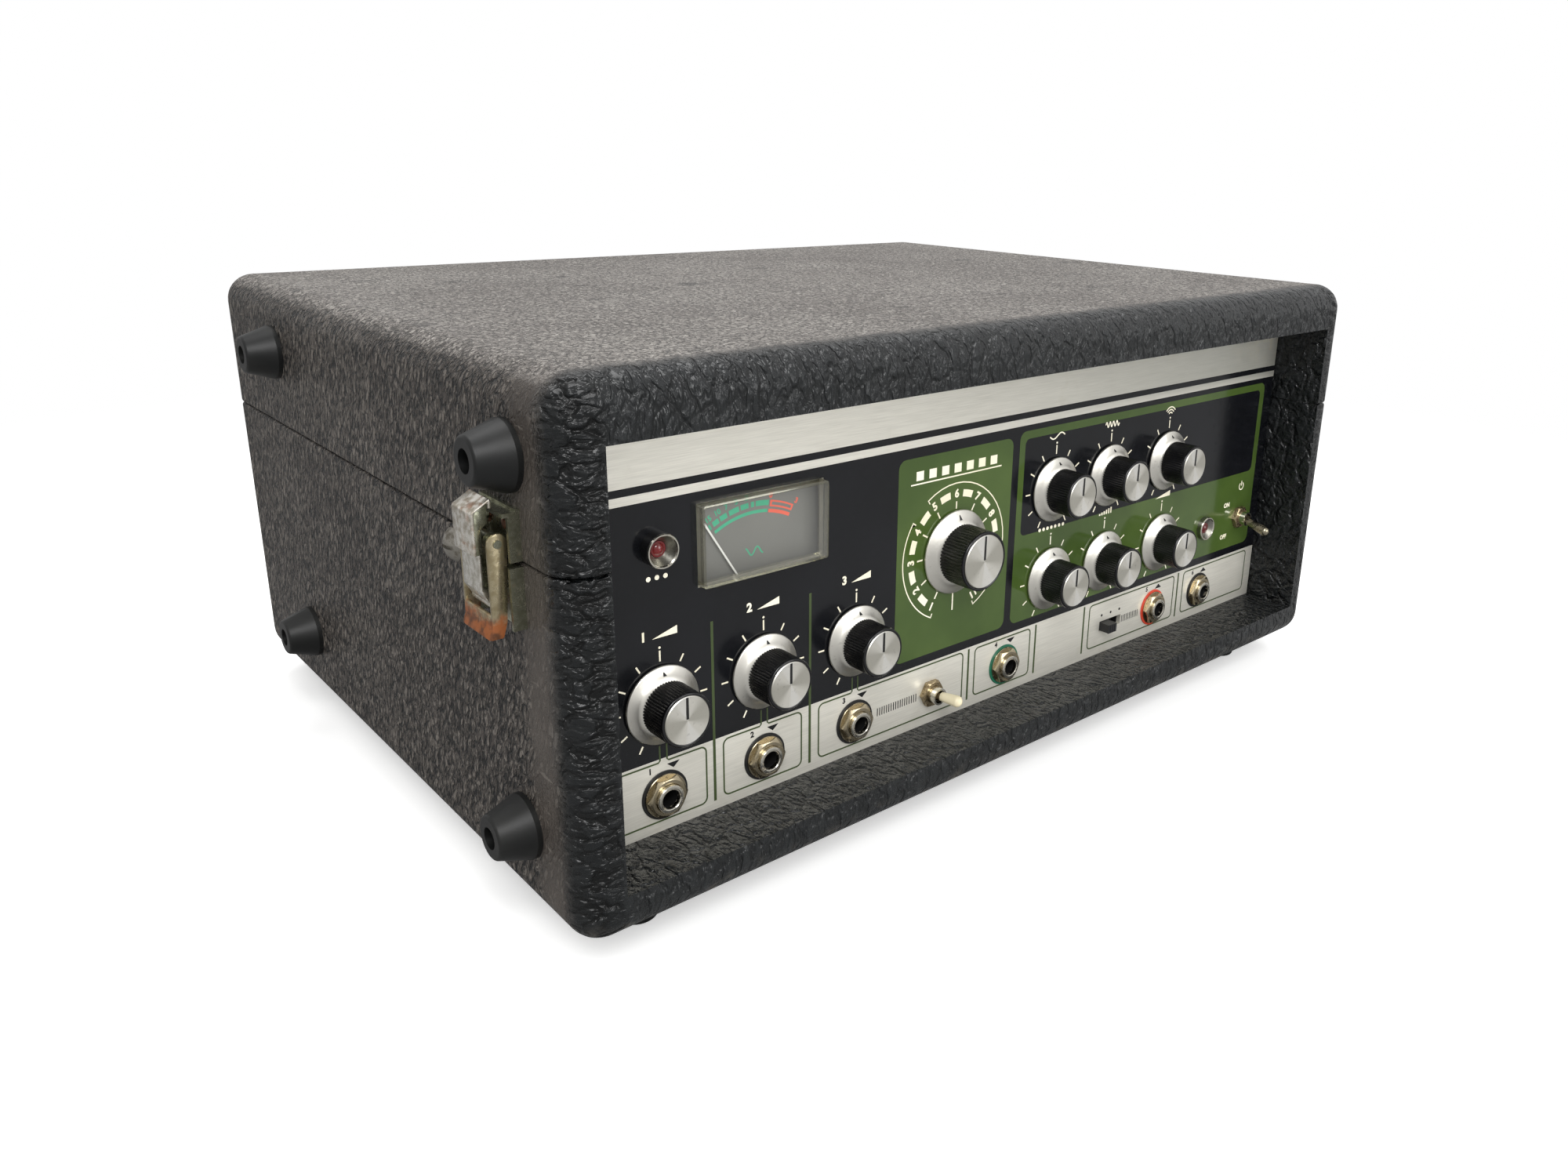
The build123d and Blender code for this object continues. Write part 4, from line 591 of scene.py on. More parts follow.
def fluted_grip(radius, low, high):
    """Radius R - d(1 + cos(n a))^2 / 4: round ribs with narrow valleys, closed over a plain rim."""
    depth, rim, lip = 0.34, 1.1, 0.35
    angle = np.linspace(0, TURN, FLUTES * 6, endpoint=False)[:, None]
    valley = depth * ((1 + np.cos(FLUTES * angle)) / 2) ** 2
    rows = [(radius - 2.0, low, 0), (radius, low, 1), (radius - 0.05, high - rim - 0.5, 1),
            (radius - 0.1, high - rim, 0), (radius - 0.1, high - lip, 0), (radius - 0.1 - lip, high, 0),
            (radius - 0.85, high, 0), (radius - 1.05, high - 0.25, 0), (radius - 2.0, high - 0.5, 0),
            (radius - 2.0, low, 0)]
    around = np.concatenate([r - valley * share for r, _, share in rows], 1)
    height = np.array([h for _, h, _ in rows])[None, :] + 0 * around
    points = np.stack([around * np.cos(angle), around * np.sin(angle), height], -1)
    return sheet_of(points)


def knob_cap(radius, high):
    """A disc with a small chamfer, very slightly dished."""
    profile = [(0, high - 1.2), (radius, high - 1.2), (radius, high - 0.3), (radius - 0.25, high - 0.05)]
    profile += [(radius * share, high - 0.05 - 0.08 * (1 - share ** 2)) for share in (0.95, 0.7, 0.4, 0)]
    return turned(profile, 96)


def plate(outline, low, high):
    """A flat plate from a ring of (x, y) points."""
    return stacked([(outline, low), (outline, high)])


def on_slope(part, radius_low, height_low, radius_high, height_high):
    """Lift a flat mark onto a cone: its height follows its distance from the axis."""
    points, faces = part
    distance = np.hypot(points[:, 0], points[:, 1])
    share = (distance - radius_low) / (radius_high - radius_low)
    lifted = points.copy()
    lifted[:, 2] += height_low + share * (height_high - height_low)
    return lifted, faces


print("a grip has", len(fluted_grip(9.0, 3.0, 12.0)[0]), "points")


# %% Every knob
SKIRT_GAP = 0.4      # between the panel and the skirt
SKIRT_RISE = 3.6     # height of the skirt's dish
CAP_AND_GRIP = {"small": (7.94, 9.0), "large": (10.1, 11.4)}    # radii


def make_knob(node, cap_radius, grip_radius):
    """Three turned parts and two black marks that stand for one node, at the node's own sizes."""
    low, high = box_mm(node)
    x, _, z = middle(node)
    skirt_radius, tall = (high[0] - low[0]) / 2, PANEL_FACE - low[1]
    skirt = placed(knob_skirt(skirt_radius, grip_radius, SKIRT_RISE), Matrix.Translation((0, 0, SKIRT_GAP)))
    half, inner, outer = 0.42, cap_radius * 0.06, cap_radius - 0.25
    line = plate([(-half, inner), (half, inner), (half, outer), (-half, outer)], tall - 0.3, tall + 0.02)
    foot, tip = grip_radius + 1.4, skirt_radius - 1.7
    arrow = plate([(-0.62, foot), (0.62, foot), (0.12, tip), (-0.12, tip)], -0.3, 0.12)
    arrow = on_slope(arrow, grip_radius + 1.2, SKIRT_GAP + SKIRT_RISE * 0.72, skirt_radius - 2.0,
                     SKIRT_GAP + 0.9 + SKIRT_RISE * 0.22)
    skirt_metal = spun_metal(node + "_spun", "e8e5dc", 0.34, 0.012, x, z)
    cap_metal = spun_metal(node + "_cap_metal", "f3f0e6", 0.34, 0.009, x, z, wedge=1.0)
    for word, part, finish, slot, sharp in (
            ("skirt", skirt, skirt_metal, "control_metal", 50),
            ("grip", fluted_grip(grip_radius, SKIRT_RISE - 0.4, tall - 0.25), FINISHES["knob_black"],
             "knob_black", 60),
            ("cap", knob_cap(cap_radius, tall), cap_metal, "control_metal", 40),
            ("marks", joined(line, arrow), MARK_BLACK, "knob_black", 35)):
        piece(f"{node}_{word}", placed(part, on_panel(x, z)), finish, bodies_of[node], [node], sharp)


knob_nodes = [node for node in frame["nodes"] if node.endswith("_knob")]
for node in knob_nodes:
    make_knob(node, *CAP_AND_GRIP["large" if node.startswith("mode") else "small"])
print("knobs", len(knob_nodes))

# %% [markdown]
# ## Printing on the panel
#
# The panel is brushed aluminium with inks laid over it: black, then two greens, then cream marks.
# Ink is thin but it is a real layer, so each colour is a flat curve filled by Blender, given a few
# hundredths of a millimetre of thickness and turned into a mesh. A ring of points inside another ring
# becomes a hole, which is how the ink leaves room for every bush, lamp and jack.

# %% Flat outlines
def ring(x, z, radius, count=40):
    return arc(x, z, radius, 0, 360 * (1 - 1 / count), count)


def round_box(left, low, right, high, radius, count=6):
    """Corners as quarter circles, anticlockwise from the lower right one."""
    corners = ((right - radius, low + radius, -90), (right - radius, high - radius, 0),
               (left + radius, high - radius, 90), (left + radius, low + radius, 180))
    return [p for x, z, start in corners for p in arc(x, z, radius, start, start + 90, count)]


def box_ring(left, low, right, high):
    return [(left, low), (right, low), (right, high), (left, high)]


def bar(x, low, high, width):
    return box_ring(x - width / 2, low, x + width / 2, high)


def clock(x, z, radius, degrees):
    """The point of a dial at this many degrees clockwise from twelve o'clock."""
    return x + radius * np.sin(np.radians(degrees)), z + radius * np.cos(np.radians(degrees))


def tick(x, z, inner, outer, degrees, width):
    """A short radial stroke of a dial."""
    (x0, z0), (x1, z1) = clock(x, z, inner, degrees), clock(x, z, outer, degrees)
    half = width / 2
    dx, dz = half * np.cos(np.radians(degrees)), -half * np.sin(np.radians(degrees))
    return [(x0 - dx, z0 - dz), (x0 + dx, z0 + dz), (x1 + dx, z1 + dz), (x1 - dx, z1 - dz)]


def sector(x, z, inner, outer, start, end, count=9):
    """A piece of a ring between two clock angles."""
    angles = np.linspace(start, end, count)
    return [clock(x, z, outer, a) for a in angles] + [clock(x, z, inner, a) for a in angles[::-1]]


def stroke(points, width):
    """A ribbon of even width along an open line, from its left side and back along its right."""
    line = np.array(points, float)
    along = np.gradient(line, axis=0)
    aside = np.column_stack([-along[:, 1], along[:, 0]]) / np.linalg.norm(along, axis=1)[:, None]
    return np.concatenate([line + aside * width / 2, (line - aside * width / 2)[::-1]]).tolist()


print("a ring has", len(ring(0, 0, 1)), "points, a rounded box", len(round_box(0, 0, 4, 4, 1)))


# %% From outlines to ink
def flat_mesh(curve, thickness, matrix):
    """The mesh of a text or flat curve as a plate on its own back, carried through a matrix."""
    curve.extrude = thickness / 2
    made = bpy.data.objects.new("ink", curve)
    mesh = bpy.data.meshes.new_from_object(made)
    mesh.transform(matrix @ Matrix.Translation((0, 0, thickness / 2)))
    bpy.data.objects.remove(made)
    bpy.data.curves.remove(curve)
    return mesh


def filled(outlines, thickness, matrix):
    """Closed rings of (x, y) millimetres as one thin plate."""
    curve = bpy.data.curves.new("ink", "CURVE")
    curve.dimensions, curve.fill_mode = "2D", "BOTH"
    for outline in outlines:
        spline = curve.splines.new("POLY")
        spline.points.add(len(outline) - 1)
        flat = np.zeros((len(outline), 4))
        flat[:, :2], flat[:, 3] = outline, 1
        spline.points.foreach_set("co", flat.ravel())
        spline.use_cyclic_u = True
    return flat_mesh(curve, thickness, matrix)


def lettered(text, size, thickness, matrix):
    """Numbers in the built-in font, centred on their own middle."""
    curve = bpy.data.curves.new("figure", "FONT")
    curve.body, curve.size, curve.offset = text, size, 0.04 * size
    curve.align_x, curve.align_y, curve.resolution_u = "CENTER", "CENTER", 3
    return flat_mesh(curve, thickness, matrix)


def merged(name, meshes, finish, body):
    """Several flat meshes in millimetres as one piece in metres."""
    work = bmesh.new()
    for mesh in meshes:
        work.from_mesh(mesh)
        bpy.data.meshes.remove(mesh)
    bmesh.ops.scale(work, vec=(MM, MM, MM), verts=work.verts)
    bmesh.ops.remove_doubles(work, verts=work.verts, dist=SAME_PLACE)
    bmesh.ops.recalc_face_normals(work, faces=work.faces)
    whole = bpy.data.meshes.new(name)
    work.to_mesh(whole)
    work.free()
    return dress(show(bpy.data.objects.new(name, whole)), finish, body)


def ink_finish(name, colour, worn, roughness, coat, shine=0.5):
    """Screen-printed ink: smooth and glossy, with faint clouds and a few dull wiped patches."""
    made, place = start_finish(name)
    cloud = place.noise(0.03, detail=4).step(0.35, 0.75)
    haze = place.noise(0.35, detail=5).step(0.5, 0.85)
    return end_finish(made, base_color=cloud.mix(colour, worn), roughness=roughness + haze * 0.14,
                      coat_weight=coat, coat_roughness=0.06, specular_ior_level=shine,
                      normal=place.noise(0.8, detail=2).bump(0.004))


INK_BLACK = ink_finish("ink_black", "0b0c0f", "111216", 0.16, 0.0, 0.42)
INK_GREEN = ink_finish("ink_green", "3a4d20", "465928", 0.1, 0.1)
INK_CREAM = ink_finish("ink_cream", "f4eed8", "e6dec2", 0.45, 0.0)
INK_OLIVE = ink_finish("ink_olive", "36441f", "3e4d26", 0.4, 0.0)
FIELD, PATCH, MARK = 0.03, 0.07, 0.11
FLAT_PANEL = on_panel(0, BASE)


def ink(name, outlines, thickness, finish, figures=(), stand=FLAT_PANEL):
    """One colour of print, from rings in the panel's own x and height above the case's underside.

    A figure is its text, its place, its size and its turn in degrees clockwise.
    """
    meshes = [filled(outlines, thickness, stand)]
    meshes += [lettered(text, size, thickness, stand @ Matrix.Translation((x, z, 0))
                        @ Matrix.Rotation(-np.radians(turn), 4, "Z"))
               for text, x, z, size, turn in figures]
    return merged(name, meshes, finish, "case")


print("inks stand", FIELD, PATCH, "and", MARK, "mm above the panel")


# %% [markdown]
# ### Black and green fields
#
# Two silver bands stay bare: a wide one at the top with a black rule under it, and the jack strip at
# the bottom. Between them the panel is black, with a green field for the selector and another one
# round the tone and echo controls.

# %% Fields
def place_on_panel(node):
    """A node's middle as x and height above the case's underside."""
    x, _, z = middle(node)
    return x, z - BASE


INK_INSET = 0.05     # from the panel's ends to the ink
PANEL_LEFT, PANEL_RIGHT = box_mm("front_panel")[0][0] + INK_INSET, box_mm("front_panel")[1][0] - INK_INSET
small_places = [place_on_panel(node) for node in knob_nodes if not node.startswith("mode")]
mode_x, mode_up = place_on_panel("mode_selector_knob")
meter_low, meter_high = box_mm("meter_cover")
peak_x, peak_up = -157.3, 112.0
power_lamp_x, lamp_up = 139.0, 59.8
toggle_x = 168.0

BUSH_HOLE, LAMP_HOLE, TOGGLE_HOLE = 5.0, 4.6, 4.4
STRIP_TOP, FIELD_TOP, RULE_LOW, RULE_HIGH = 41.8, 126.8, 129.6, 132.0
MODE_FIELD = (-58.5, 45.3, 1.0, 123.0, 3.4)
ECHO_FIELD = (4.8, 45.3, 178.5, 124.5, 3.4)
TONE_FIELD = (8.0, 82.0, 175.0, 121.3, 2.4)

knob_holes = [ring(x, z, BUSH_HOLE) for x, z in small_places + [(mode_x, mode_up)]]
window = box_ring(meter_low[0], meter_low[2] - BASE, meter_high[0], meter_high[2] - BASE)
right_holes = [ring(power_lamp_x, lamp_up, LAMP_HOLE), ring(toggle_x, lamp_up, TOGGLE_HOLE)]
ink("print_black_field", [box_ring(PANEL_LEFT, STRIP_TOP, PANEL_RIGHT, FIELD_TOP), window,
                          ring(peak_x, peak_up, LAMP_HOLE)] + right_holes + knob_holes, FIELD, INK_BLACK)
ink("print_black_rule", [box_ring(PANEL_LEFT, RULE_LOW, PANEL_RIGHT, RULE_HIGH)], FIELD, INK_BLACK)
ink("print_mode_field", [round_box(*MODE_FIELD), ring(mode_x, mode_up, BUSH_HOLE)], PATCH, INK_GREEN)
ink("print_echo_field", [round_box(*ECHO_FIELD), round_box(*TONE_FIELD)] + right_holes
    + [ring(x, z, BUSH_HOLE) for x, z in small_places if x > 0 and z < TONE_FIELD[1]], PATCH, INK_GREEN)
print("fields for", len(small_places) + 1, "knobs")


# %% [markdown]
# ### Scales and signs
#
# Each small knob has eleven strokes thirty degrees apart, the top one longer with a dot over it. The
# selector has twelve places: a ring of blocks with plain numbers 1 to 11 in its gaps, and a long
# stroke for the place at six o'clock. Plain signs stand for what each control does.

# %% Scales in cream
SIGN_LINE = 0.5
SCALE_IN, SCALE_OUT, TOP_OUT, DOT_UP, TICK = 14.4, 17.0, 18.0, 19.0, 0.55


def small_scale(x, z):
    """Ten even strokes, and a longer one at twelve o'clock with a dot over it."""
    strokes = [tick(x, z, SCALE_IN, SCALE_OUT, turn, TICK) for turn in range(-150, 151, 30) if turn]
    return strokes + [tick(x, z, SCALE_IN, TOP_OUT, 0, TICK), ring(x, z + DOT_UP, 0.42, 12)]


def mode_scale(x, z):
    """Blocks between the numbers, a stroke at each place, and two thin brackets round the groups."""
    places = [-150 + 30 * step for step in range(11)]
    blocks = [sector(x, z, 21.0, 23.7, a + 8.5, a + 21.5) for a in places[:-1]]
    strokes = [tick(x, z, 16.6, 19.4, a, 0.6) for a in places] + [tick(x, z, 16.6, 23.6, 180, 0.6)]
    lines = [sector(x, z, 26.3, 26.75, start, end, 24) for start, end in ((-155, -55), (-34, 155))]
    ends = [tick(x, z, 24.9, 26.4, a, 0.45) for a in (-154.5, -55.5, -33.5, 154.5)]
    figures = [(str(step + 1), *clock(x, z, 22.35, a), 4.3, a) for step, a in enumerate(places)]
    return blocks + strokes + lines + ends, figures


def wave(x, z, width, height, turns):
    """A sine line: z + (height / 2) sin(2 pi turns x / width)."""
    across = np.linspace(-width / 2, width / 2, int(14 * turns) + 1)
    up = z + height / 2 * np.sin(across / width * turns * TURN)
    return stroke(np.column_stack([x + across, up]), SIGN_LINE)


def wedge(x, z, width, height):
    """A rising wedge: more to the right."""
    right, low = x + width / 2, z - height / 2
    return [(x - width / 2, low), (right, low), (right, z + height / 2)]


def bars(x, z, width, low, high, count):
    """Upright bars that grow to the right, all standing on one line."""
    step = width / count
    return [bar(x - width / 2 + step * (i + 0.5), z, z + low + (high - low) * i / (count - 1), step * 0.55)
            for i in range(count)]


SIGN_UP = 22.6       # from a small knob's middle to the middle of its sign
MODE_SIGN = mode_up + 30.6
INPUT_KNOBS = ("mic_1_knob", "mic_2_knob", "instrument_knob")
SIGNS = {
    "bass_knob": lambda x, z: [wave(x, z - 0.8, 9.0, 2.2, 1.0)],
    "treble_knob": lambda x, z: [wave(x, z - 0.8, 9.0, 2.2, 4.0)],
    "reverb_volume_knob": lambda x, z: [sector(x, z - 2.6, inner, inner + 0.5, -55, 55)
                                        for inner in (1.2, 2.4, 3.6)],
    "repeat_rate_knob": lambda x, z: [ring(x + step * 2.4, z - 0.8, 0.75, 16) for step in range(-3, 4)],
    "intensity_knob": lambda x, z: bars(x, z - 2.0, 9.0, 0.8, 2.6, 6),
    "echo_volume_knob": lambda x, z: [wedge(x, z - 0.6, 11.0, 2.4)],
}
marks, figures = mode_scale(mode_x, mode_up)
for x, z in small_places:
    marks += small_scale(x, z)
for number, node in enumerate(INPUT_KNOBS, 1):
    x, z = place_on_panel(node)
    figures.append((str(number), x - 5.6, z + SIGN_UP + 1.0, 4.2, 0))
    marks.append(wedge(x + 2.0, z + SIGN_UP + 1.0, 9.0, 2.6))
for node, sign in SIGNS.items():
    x, z = place_on_panel(node)
    marks += sign(x, z + SIGN_UP)
marks += [bar(mode_x + step * 6.4, MODE_SIGN, MODE_SIGN + 3.4, 3.6) for step in range(-3, 4)]
marks += [box_ring(mode_x - 23.6, MODE_SIGN - 1.5, mode_x + 23.6, MODE_SIGN - 1.0)]
marks += [ring(peak_x + step * 3.0, peak_up - 9.4, 0.8, 16) for step in (-1, 0, 1)]
marks += [sector(toggle_x, lamp_up + 15.4, 1.5, 2.0, 35, 325, 24),
          bar(toggle_x, lamp_up + 15.6, lamp_up + 18.0, SIGN_LINE)]
figures += [("ON", toggle_x - 11.0, lamp_up + 7.6, 3.0, 0), ("OFF", toggle_x - 11.2, lamp_up - 8.2, 3.0, 0)]
ink("print_cream_marks", marks, MARK, INK_CREAM, figures)
print("cream shapes", len(marks), "numbers and words", len(figures))

# %% Lines on the black field and the jack strip
LINE, BOX_RADIUS = 0.55, 2.2
STRIP_LOW, STRIP_HIGH = 19.8, 40.6
dividers = [bar(x, 19.3, 83.4, 1.0) for x in (-138.0, -98.0)]
dividers += [bar(x, 19.3, 41.0, 0.9) for x in (-18.3, 21.5, 53.1, 122.2)]


def stemmed_box(left, right, stem):
    """A box line that opens upwards into a pair of lines which run to the knob above."""
    half, top_up, radius, cut = 1.3, 46.5, BOX_RADIUS, 0.6
    middles = ((left + radius, STRIP_HIGH - radius, 90), (left + radius, STRIP_LOW + radius, 180),
               (right - radius, STRIP_LOW + radius, 270), (right - radius, STRIP_HIGH - radius, 0))
    path = [(stem - half, top_up), (stem - half, STRIP_HIGH + cut), (stem - half - cut, STRIP_HIGH)]
    path += [p for x, z, start in middles for p in arc(x, z, radius, start, start + 90)]
    path += [(stem + half + cut, STRIP_HIGH), (stem + half, STRIP_HIGH + cut), (stem + half, top_up)]
    return stroke(path, LINE)


boxes = [stemmed_box(left, right, middle(node)[0]) for (left, right), node in
         zip(((-175.0, -141.2), (-134.4, -101.7), (-94.0, -21.5)), INPUT_KNOBS)]
for left, right in ((-15.0, 18.3), (56.6, 119.2), (126.2, 179.5)):
    boxes += [round_box(left + inset, STRIP_LOW + inset, right - inset, STRIP_HIGH - inset,
                        BOX_RADIUS - inset) for inset in (0, LINE)]
ink("print_green_lines", dividers + boxes, PATCH + 0.02, INK_OLIVE)

jack_places = [-157.3, -117.7, -77.3, 2.5, 102.9, 139.0]
hatching = [bar(x, 27.2, 30.4, 0.4) for start, end in ((-66.0, -46.0), (80.5, 93.0))
            for x in np.arange(start, end, 1.15)]
dots = [ring(x, 34.0, 0.6, 12) for x in (65.7, 72.0, 78.2)]
jack_signs = [(str(number), x - 5.0, 38.4, 2.9, 0) for number, x in enumerate(jack_places, 1)]
arrows = [[(x + 1.2, 39.3), (x + 3.6, 37.3), (x + 6.0, 39.3)] for x in jack_places[:4]]
arrows += [[(x + 1.2, 37.3), (x + 6.0, 37.3), (x + 3.6, 39.3)] for x in jack_places[4:]]
ink("print_strip_marks", hatching + dots + arrows, FIELD, INK_BLACK, jack_signs)
print("strip shapes", len(hatching + dots + arrows), "numbers", len(jack_signs))

# %% [markdown]
# ## Nuts, washers and jacks
#
# A nut's outline is a radius that changes with the angle: half the flats over the cosine of the angle
# from the middle of a flat. A cone cuts its front corners, so the height of the cut at each angle
# follows from how far the corner stands out. Two of the jacks have a coloured ring.

# %% Hardware finishes
NUT_METAL = stained_metal("nut_metal", "b5a98f", "8d7f62", 0.25, 0.4, 0.22)
BRASSY = stained_metal("nut_brassy", "a8987a", "6f5f42", 0.5, 0.7, 0.26)
RING_GREEN = moulded("ring_green", "0d5c43", "14694d", 0.45)
RING_ORANGE = moulded("ring_orange", "d8452a", "c43a22", 0.45)
BARREL_BLACK = moulded("barrel_black", "0c0c0d", "161617", 0.3)
CONE_GREY = drawn_metal("cone_grey", "a9a79e", "7c7a72", 0.3, (1, 1, 1))
# Black for the sleeve of painted shade inside each jack's bore.
PAINTED_SHADE_SLEEVE = moulded("dark_hole", "050505", "0a0a0a", 0.6)
print("hardware finishes", [made.name for made in (NUT_METAL, BRASSY, RING_GREEN, RING_ORANGE)])


# %% Turned and hexagonal parts
CHAMFER = 0.25       # at a nut's bore


def hex_nut(flats, bore, low, high):
    """Radius (flats / 2) / cos(t), t being the angle from a flat's middle, with cut front corners."""
    angle = np.linspace(0, TURN, 96, endpoint=False)
    inner = flats / 2
    corner = inner / np.cos(angle % (TURN / 6) - TURN / 12)
    reach = inner * 0.96
    cut = (corner - reach) * 0.55
    same = np.ones_like(angle)
    rows = [(bore, low), (bore, high - CHAMFER), (bore + CHAMFER, high), (reach, high),
            (corner, high - cut), (corner, low), (bore, low)]
    points = [np.stack([r * np.cos(angle), r * np.sin(angle), h * same], -1) for r, h in rows]
    return sheet_of(np.stack(points, 1))


def washer(outer, inner, low, high):
    soft = 0.12
    return turned([(inner, low), (outer, low), (outer, high - soft), (outer - soft, high), (inner, high),
                   (inner, low)], 72)


def at_places(part, places):
    """One part repeated on the panel, at each x and height above the case's underside."""
    return joined(*[placed(part, on_panel(x, BASE + up)) for x, up in places])


JACK_UP, JACK_BUSH, ECHO_TOGGLE_X = 28.8, 4.75, -38.9
jack_spots = [(x, JACK_UP) for x in jack_places]
toggle_spots = [(toggle_x, lamp_up), (ECHO_TOGGLE_X, JACK_UP)]
nuts = joined(at_places(hex_nut(12.7, JACK_BUSH, 1.0, 3.0), jack_spots),
              at_places(hex_nut(11.0, 4.0, 0, 2.0), small_places + [(mode_x, mode_up)]))
piece("panel_nut_hexes", nuts, NUT_METAL, "case", ["panel_nuts"], sharp=28)
piece("toggle_nut_hexes", at_places(hex_nut(9.6, 3.3, 0, 2.2), toggle_spots), BRASSY, "case",
      ["panel_nuts"], sharp=28)
for word, spots, finish in (("black", jack_spots[:3] + jack_spots[5:], FINISHES["jack_fibre"]),
                            ("green", jack_spots[3:4], RING_GREEN),
                            ("orange", jack_spots[4:5], RING_ORANGE)):
    piece("jack_ring_" + word, at_places(washer(8.4, JACK_BUSH, 0, 0.5), spots), finish, "case",
          ["jack_rings"])
piece("jack_washers", at_places(washer(7.5, JACK_BUSH, 0.5, 1.0), jack_spots), NUT_METAL, "case",
      ["jack_rings"])
lip = turned([(3.3, 3.4), (4.72, 3.4), (4.72, 3.85), (4.4, 4.15), (3.75, 4.2), (3.3, 3.75), (3.3, 3.4)], 64)
piece("jack_lips", at_places(lip, jack_spots), FINISHES["toggle_chrome"], "case")
# A thin black sleeve lines each jack's bore: painted shade in the hole.
tube = turned([(3.2, -14.0), (3.22, -14.0), (3.22, 2.6), (3.2, 2.6), (3.2, -14.0)], 48)
piece("jack_depths", at_places(tube, jack_spots), PAINTED_SHADE_SLEEVE, "case")
print("jacks", len(jack_spots), "toggles", len(toggle_spots))


# %% [markdown]
# ### Toggles, lamps and slide switch
#
# A toggle's lever is a slim cone on a ball that turns in its bush, so both are turned profiles. The
# smaller toggle wears an ivory sleeve. A lamp is a turned barrel with a bright rim, and a cone leads
# down to the lens. The knob of the slide switch only lacks its three ridges.

# %% Toggle levers
BALL_OUT = 2.0           # the lever's ball above the panel
BAT_END = 2.3            # radius of a lever's round end


def leaning(x, up, about_x, about_y):
    """Stand a lever on its ball and lean it, in degrees."""
    lean = Matrix.Rotation(np.radians(about_x), 4, "X") @ Matrix.Rotation(np.radians(about_y), 4, "Y")
    return on_panel(x, BASE + up) @ Matrix.Translation((0, 0, BALL_OUT)) @ lean


def bat(radius, low, tip):
    """A slim cone that grows outwards and ends in part of a ball."""
    return turned([(0, low - 0.5), (radius * 0.7, low - 0.4), (radius, low)]
                  + arc(0, tip - BAT_END, BAT_END, 8, 90, 9), 40)


ball = turned(arc(0, 0, 2.2, -90, 90, 16), 40)
LEVER_NICKEL = stained_metal("lever_nickel", "a29b86", "7c725a", 0.45, 0.3, 0.24)
short = turned([(0, 0.5), (1.3, 0.6), (1.3, 5.0), (0, 5.0)], 32)
power_stand, echo_stand = leaning(toggle_x, lamp_up, 16, 0), leaning(ECHO_TOGGLE_X, JACK_UP, 0, 13)
for name, part, stand, finish, slot in (
        ("power_lever_bat", joined(ball, bat(1.35, 1.2, 15.6)), power_stand, LEVER_NICKEL, "toggle_chrome"),
        ("echo_lever_stem", joined(ball, short), echo_stand, BRASSY, "toggle_chrome"),
        ("echo_lever_sleeve", bat(1.75, 3.6, 12.5), echo_stand, FINISHES["ivory_sleeve"], "ivory_sleeve")):
    node = name.split("_")[0] + "_toggle_lever"
    piece(name, placed(part, stand), finish, bodies_of[node], [node])
print("levers lean on balls", BALL_OUT, "mm above the panel")


# %% Lamps
LENS_HOLE = 2.6


def lamp_parts(proud):
    """Barrel with its shank, bright rim, and the cone that leads down to the lens."""
    barrel = turned([(4.0, -5.0), (4.0, 0), (5.5, 0), (5.5, proud - 0.55), (5.1, proud - 0.55), (5.1, -1.0),
                     (2.6, -1.0), (2.6, -5.0), (4.0, -5.0)], 64)
    rim = turned([(4.6, proud - 0.6), (5.5, proud - 0.55), (5.5, proud - 0.25), (5.3, proud), (4.9, proud),
                  (4.6, proud - 0.35), (4.6, proud - 0.6)], 64)
    cone = turned([(4.62, proud - 0.4), (LENS_HOLE, proud * 0.3), (LENS_HOLE, proud * 0.3 - 0.4),
                   (4.62, proud - 0.6), (4.62, proud - 0.4)], 64)
    return barrel, rim, cone


for name, spot, proud, barrel_finish in (("peak", (peak_x, peak_up), 4.6, BARREL_BLACK),
                                         ("power", (power_lamp_x, lamp_up), 2.4, CONE_GREY)):
    for word, part, finish in zip(("barrel", "rim", "cone"), lamp_parts(proud),
                                  (barrel_finish, FINISHES["toggle_chrome"], CONE_GREY)):
        piece(f"{name}_lamp_{word}", at_places(part, [spot]), finish, "case",
              ["lamp_bezels"])
print("lamps at", (peak_x, peak_up), "and", (power_lamp_x, lamp_up))

# %% Slide switch knob
low, high = box_mm("range_slider")
ridges = [bar(low[0] + (high[0] - low[0]) * share, low[2] - BASE + 0.2, high[2] - BASE - 0.2, 0.7)
          for share in (0.25, 0.5, 0.75)]
grip_front = Matrix.Translation((0, 0, PANEL_FACE - low[1]))
merged("range_slider_ridges", [filled(ridges, 0.3, FLAT_PANEL @ grip_front)], FINISHES["switch_body"],
       bodies_of["range_slider"])
print("ridges on the slide switch", len(ridges))


# %% [markdown]
# ## Level meter
#
# The dial is a grey card with printed arcs round the needle's own pivot. Over it stands a clear
# cover. A flat clear face mostly lets light through and mirrors a little, so its finish mixes a clear
# and a shiny shader; its bevelled edge gathers light and gets more of the shiny one.

# %% Dial print
PIVOT_X, PIVOT_UP = -117.7, 83.0
DIAL_FRONT, DIAL_INK = box_mm("meter_dial")[0][1], 0.04
on_dial = FLAT_PANEL @ Matrix.Translation((0, 0, PANEL_FACE - DIAL_FRONT))


def about_pivot(inner, outer, start, end, count=14):
    return sector(PIVOT_X, PIVOT_UP, inner, outer, start, end, count)


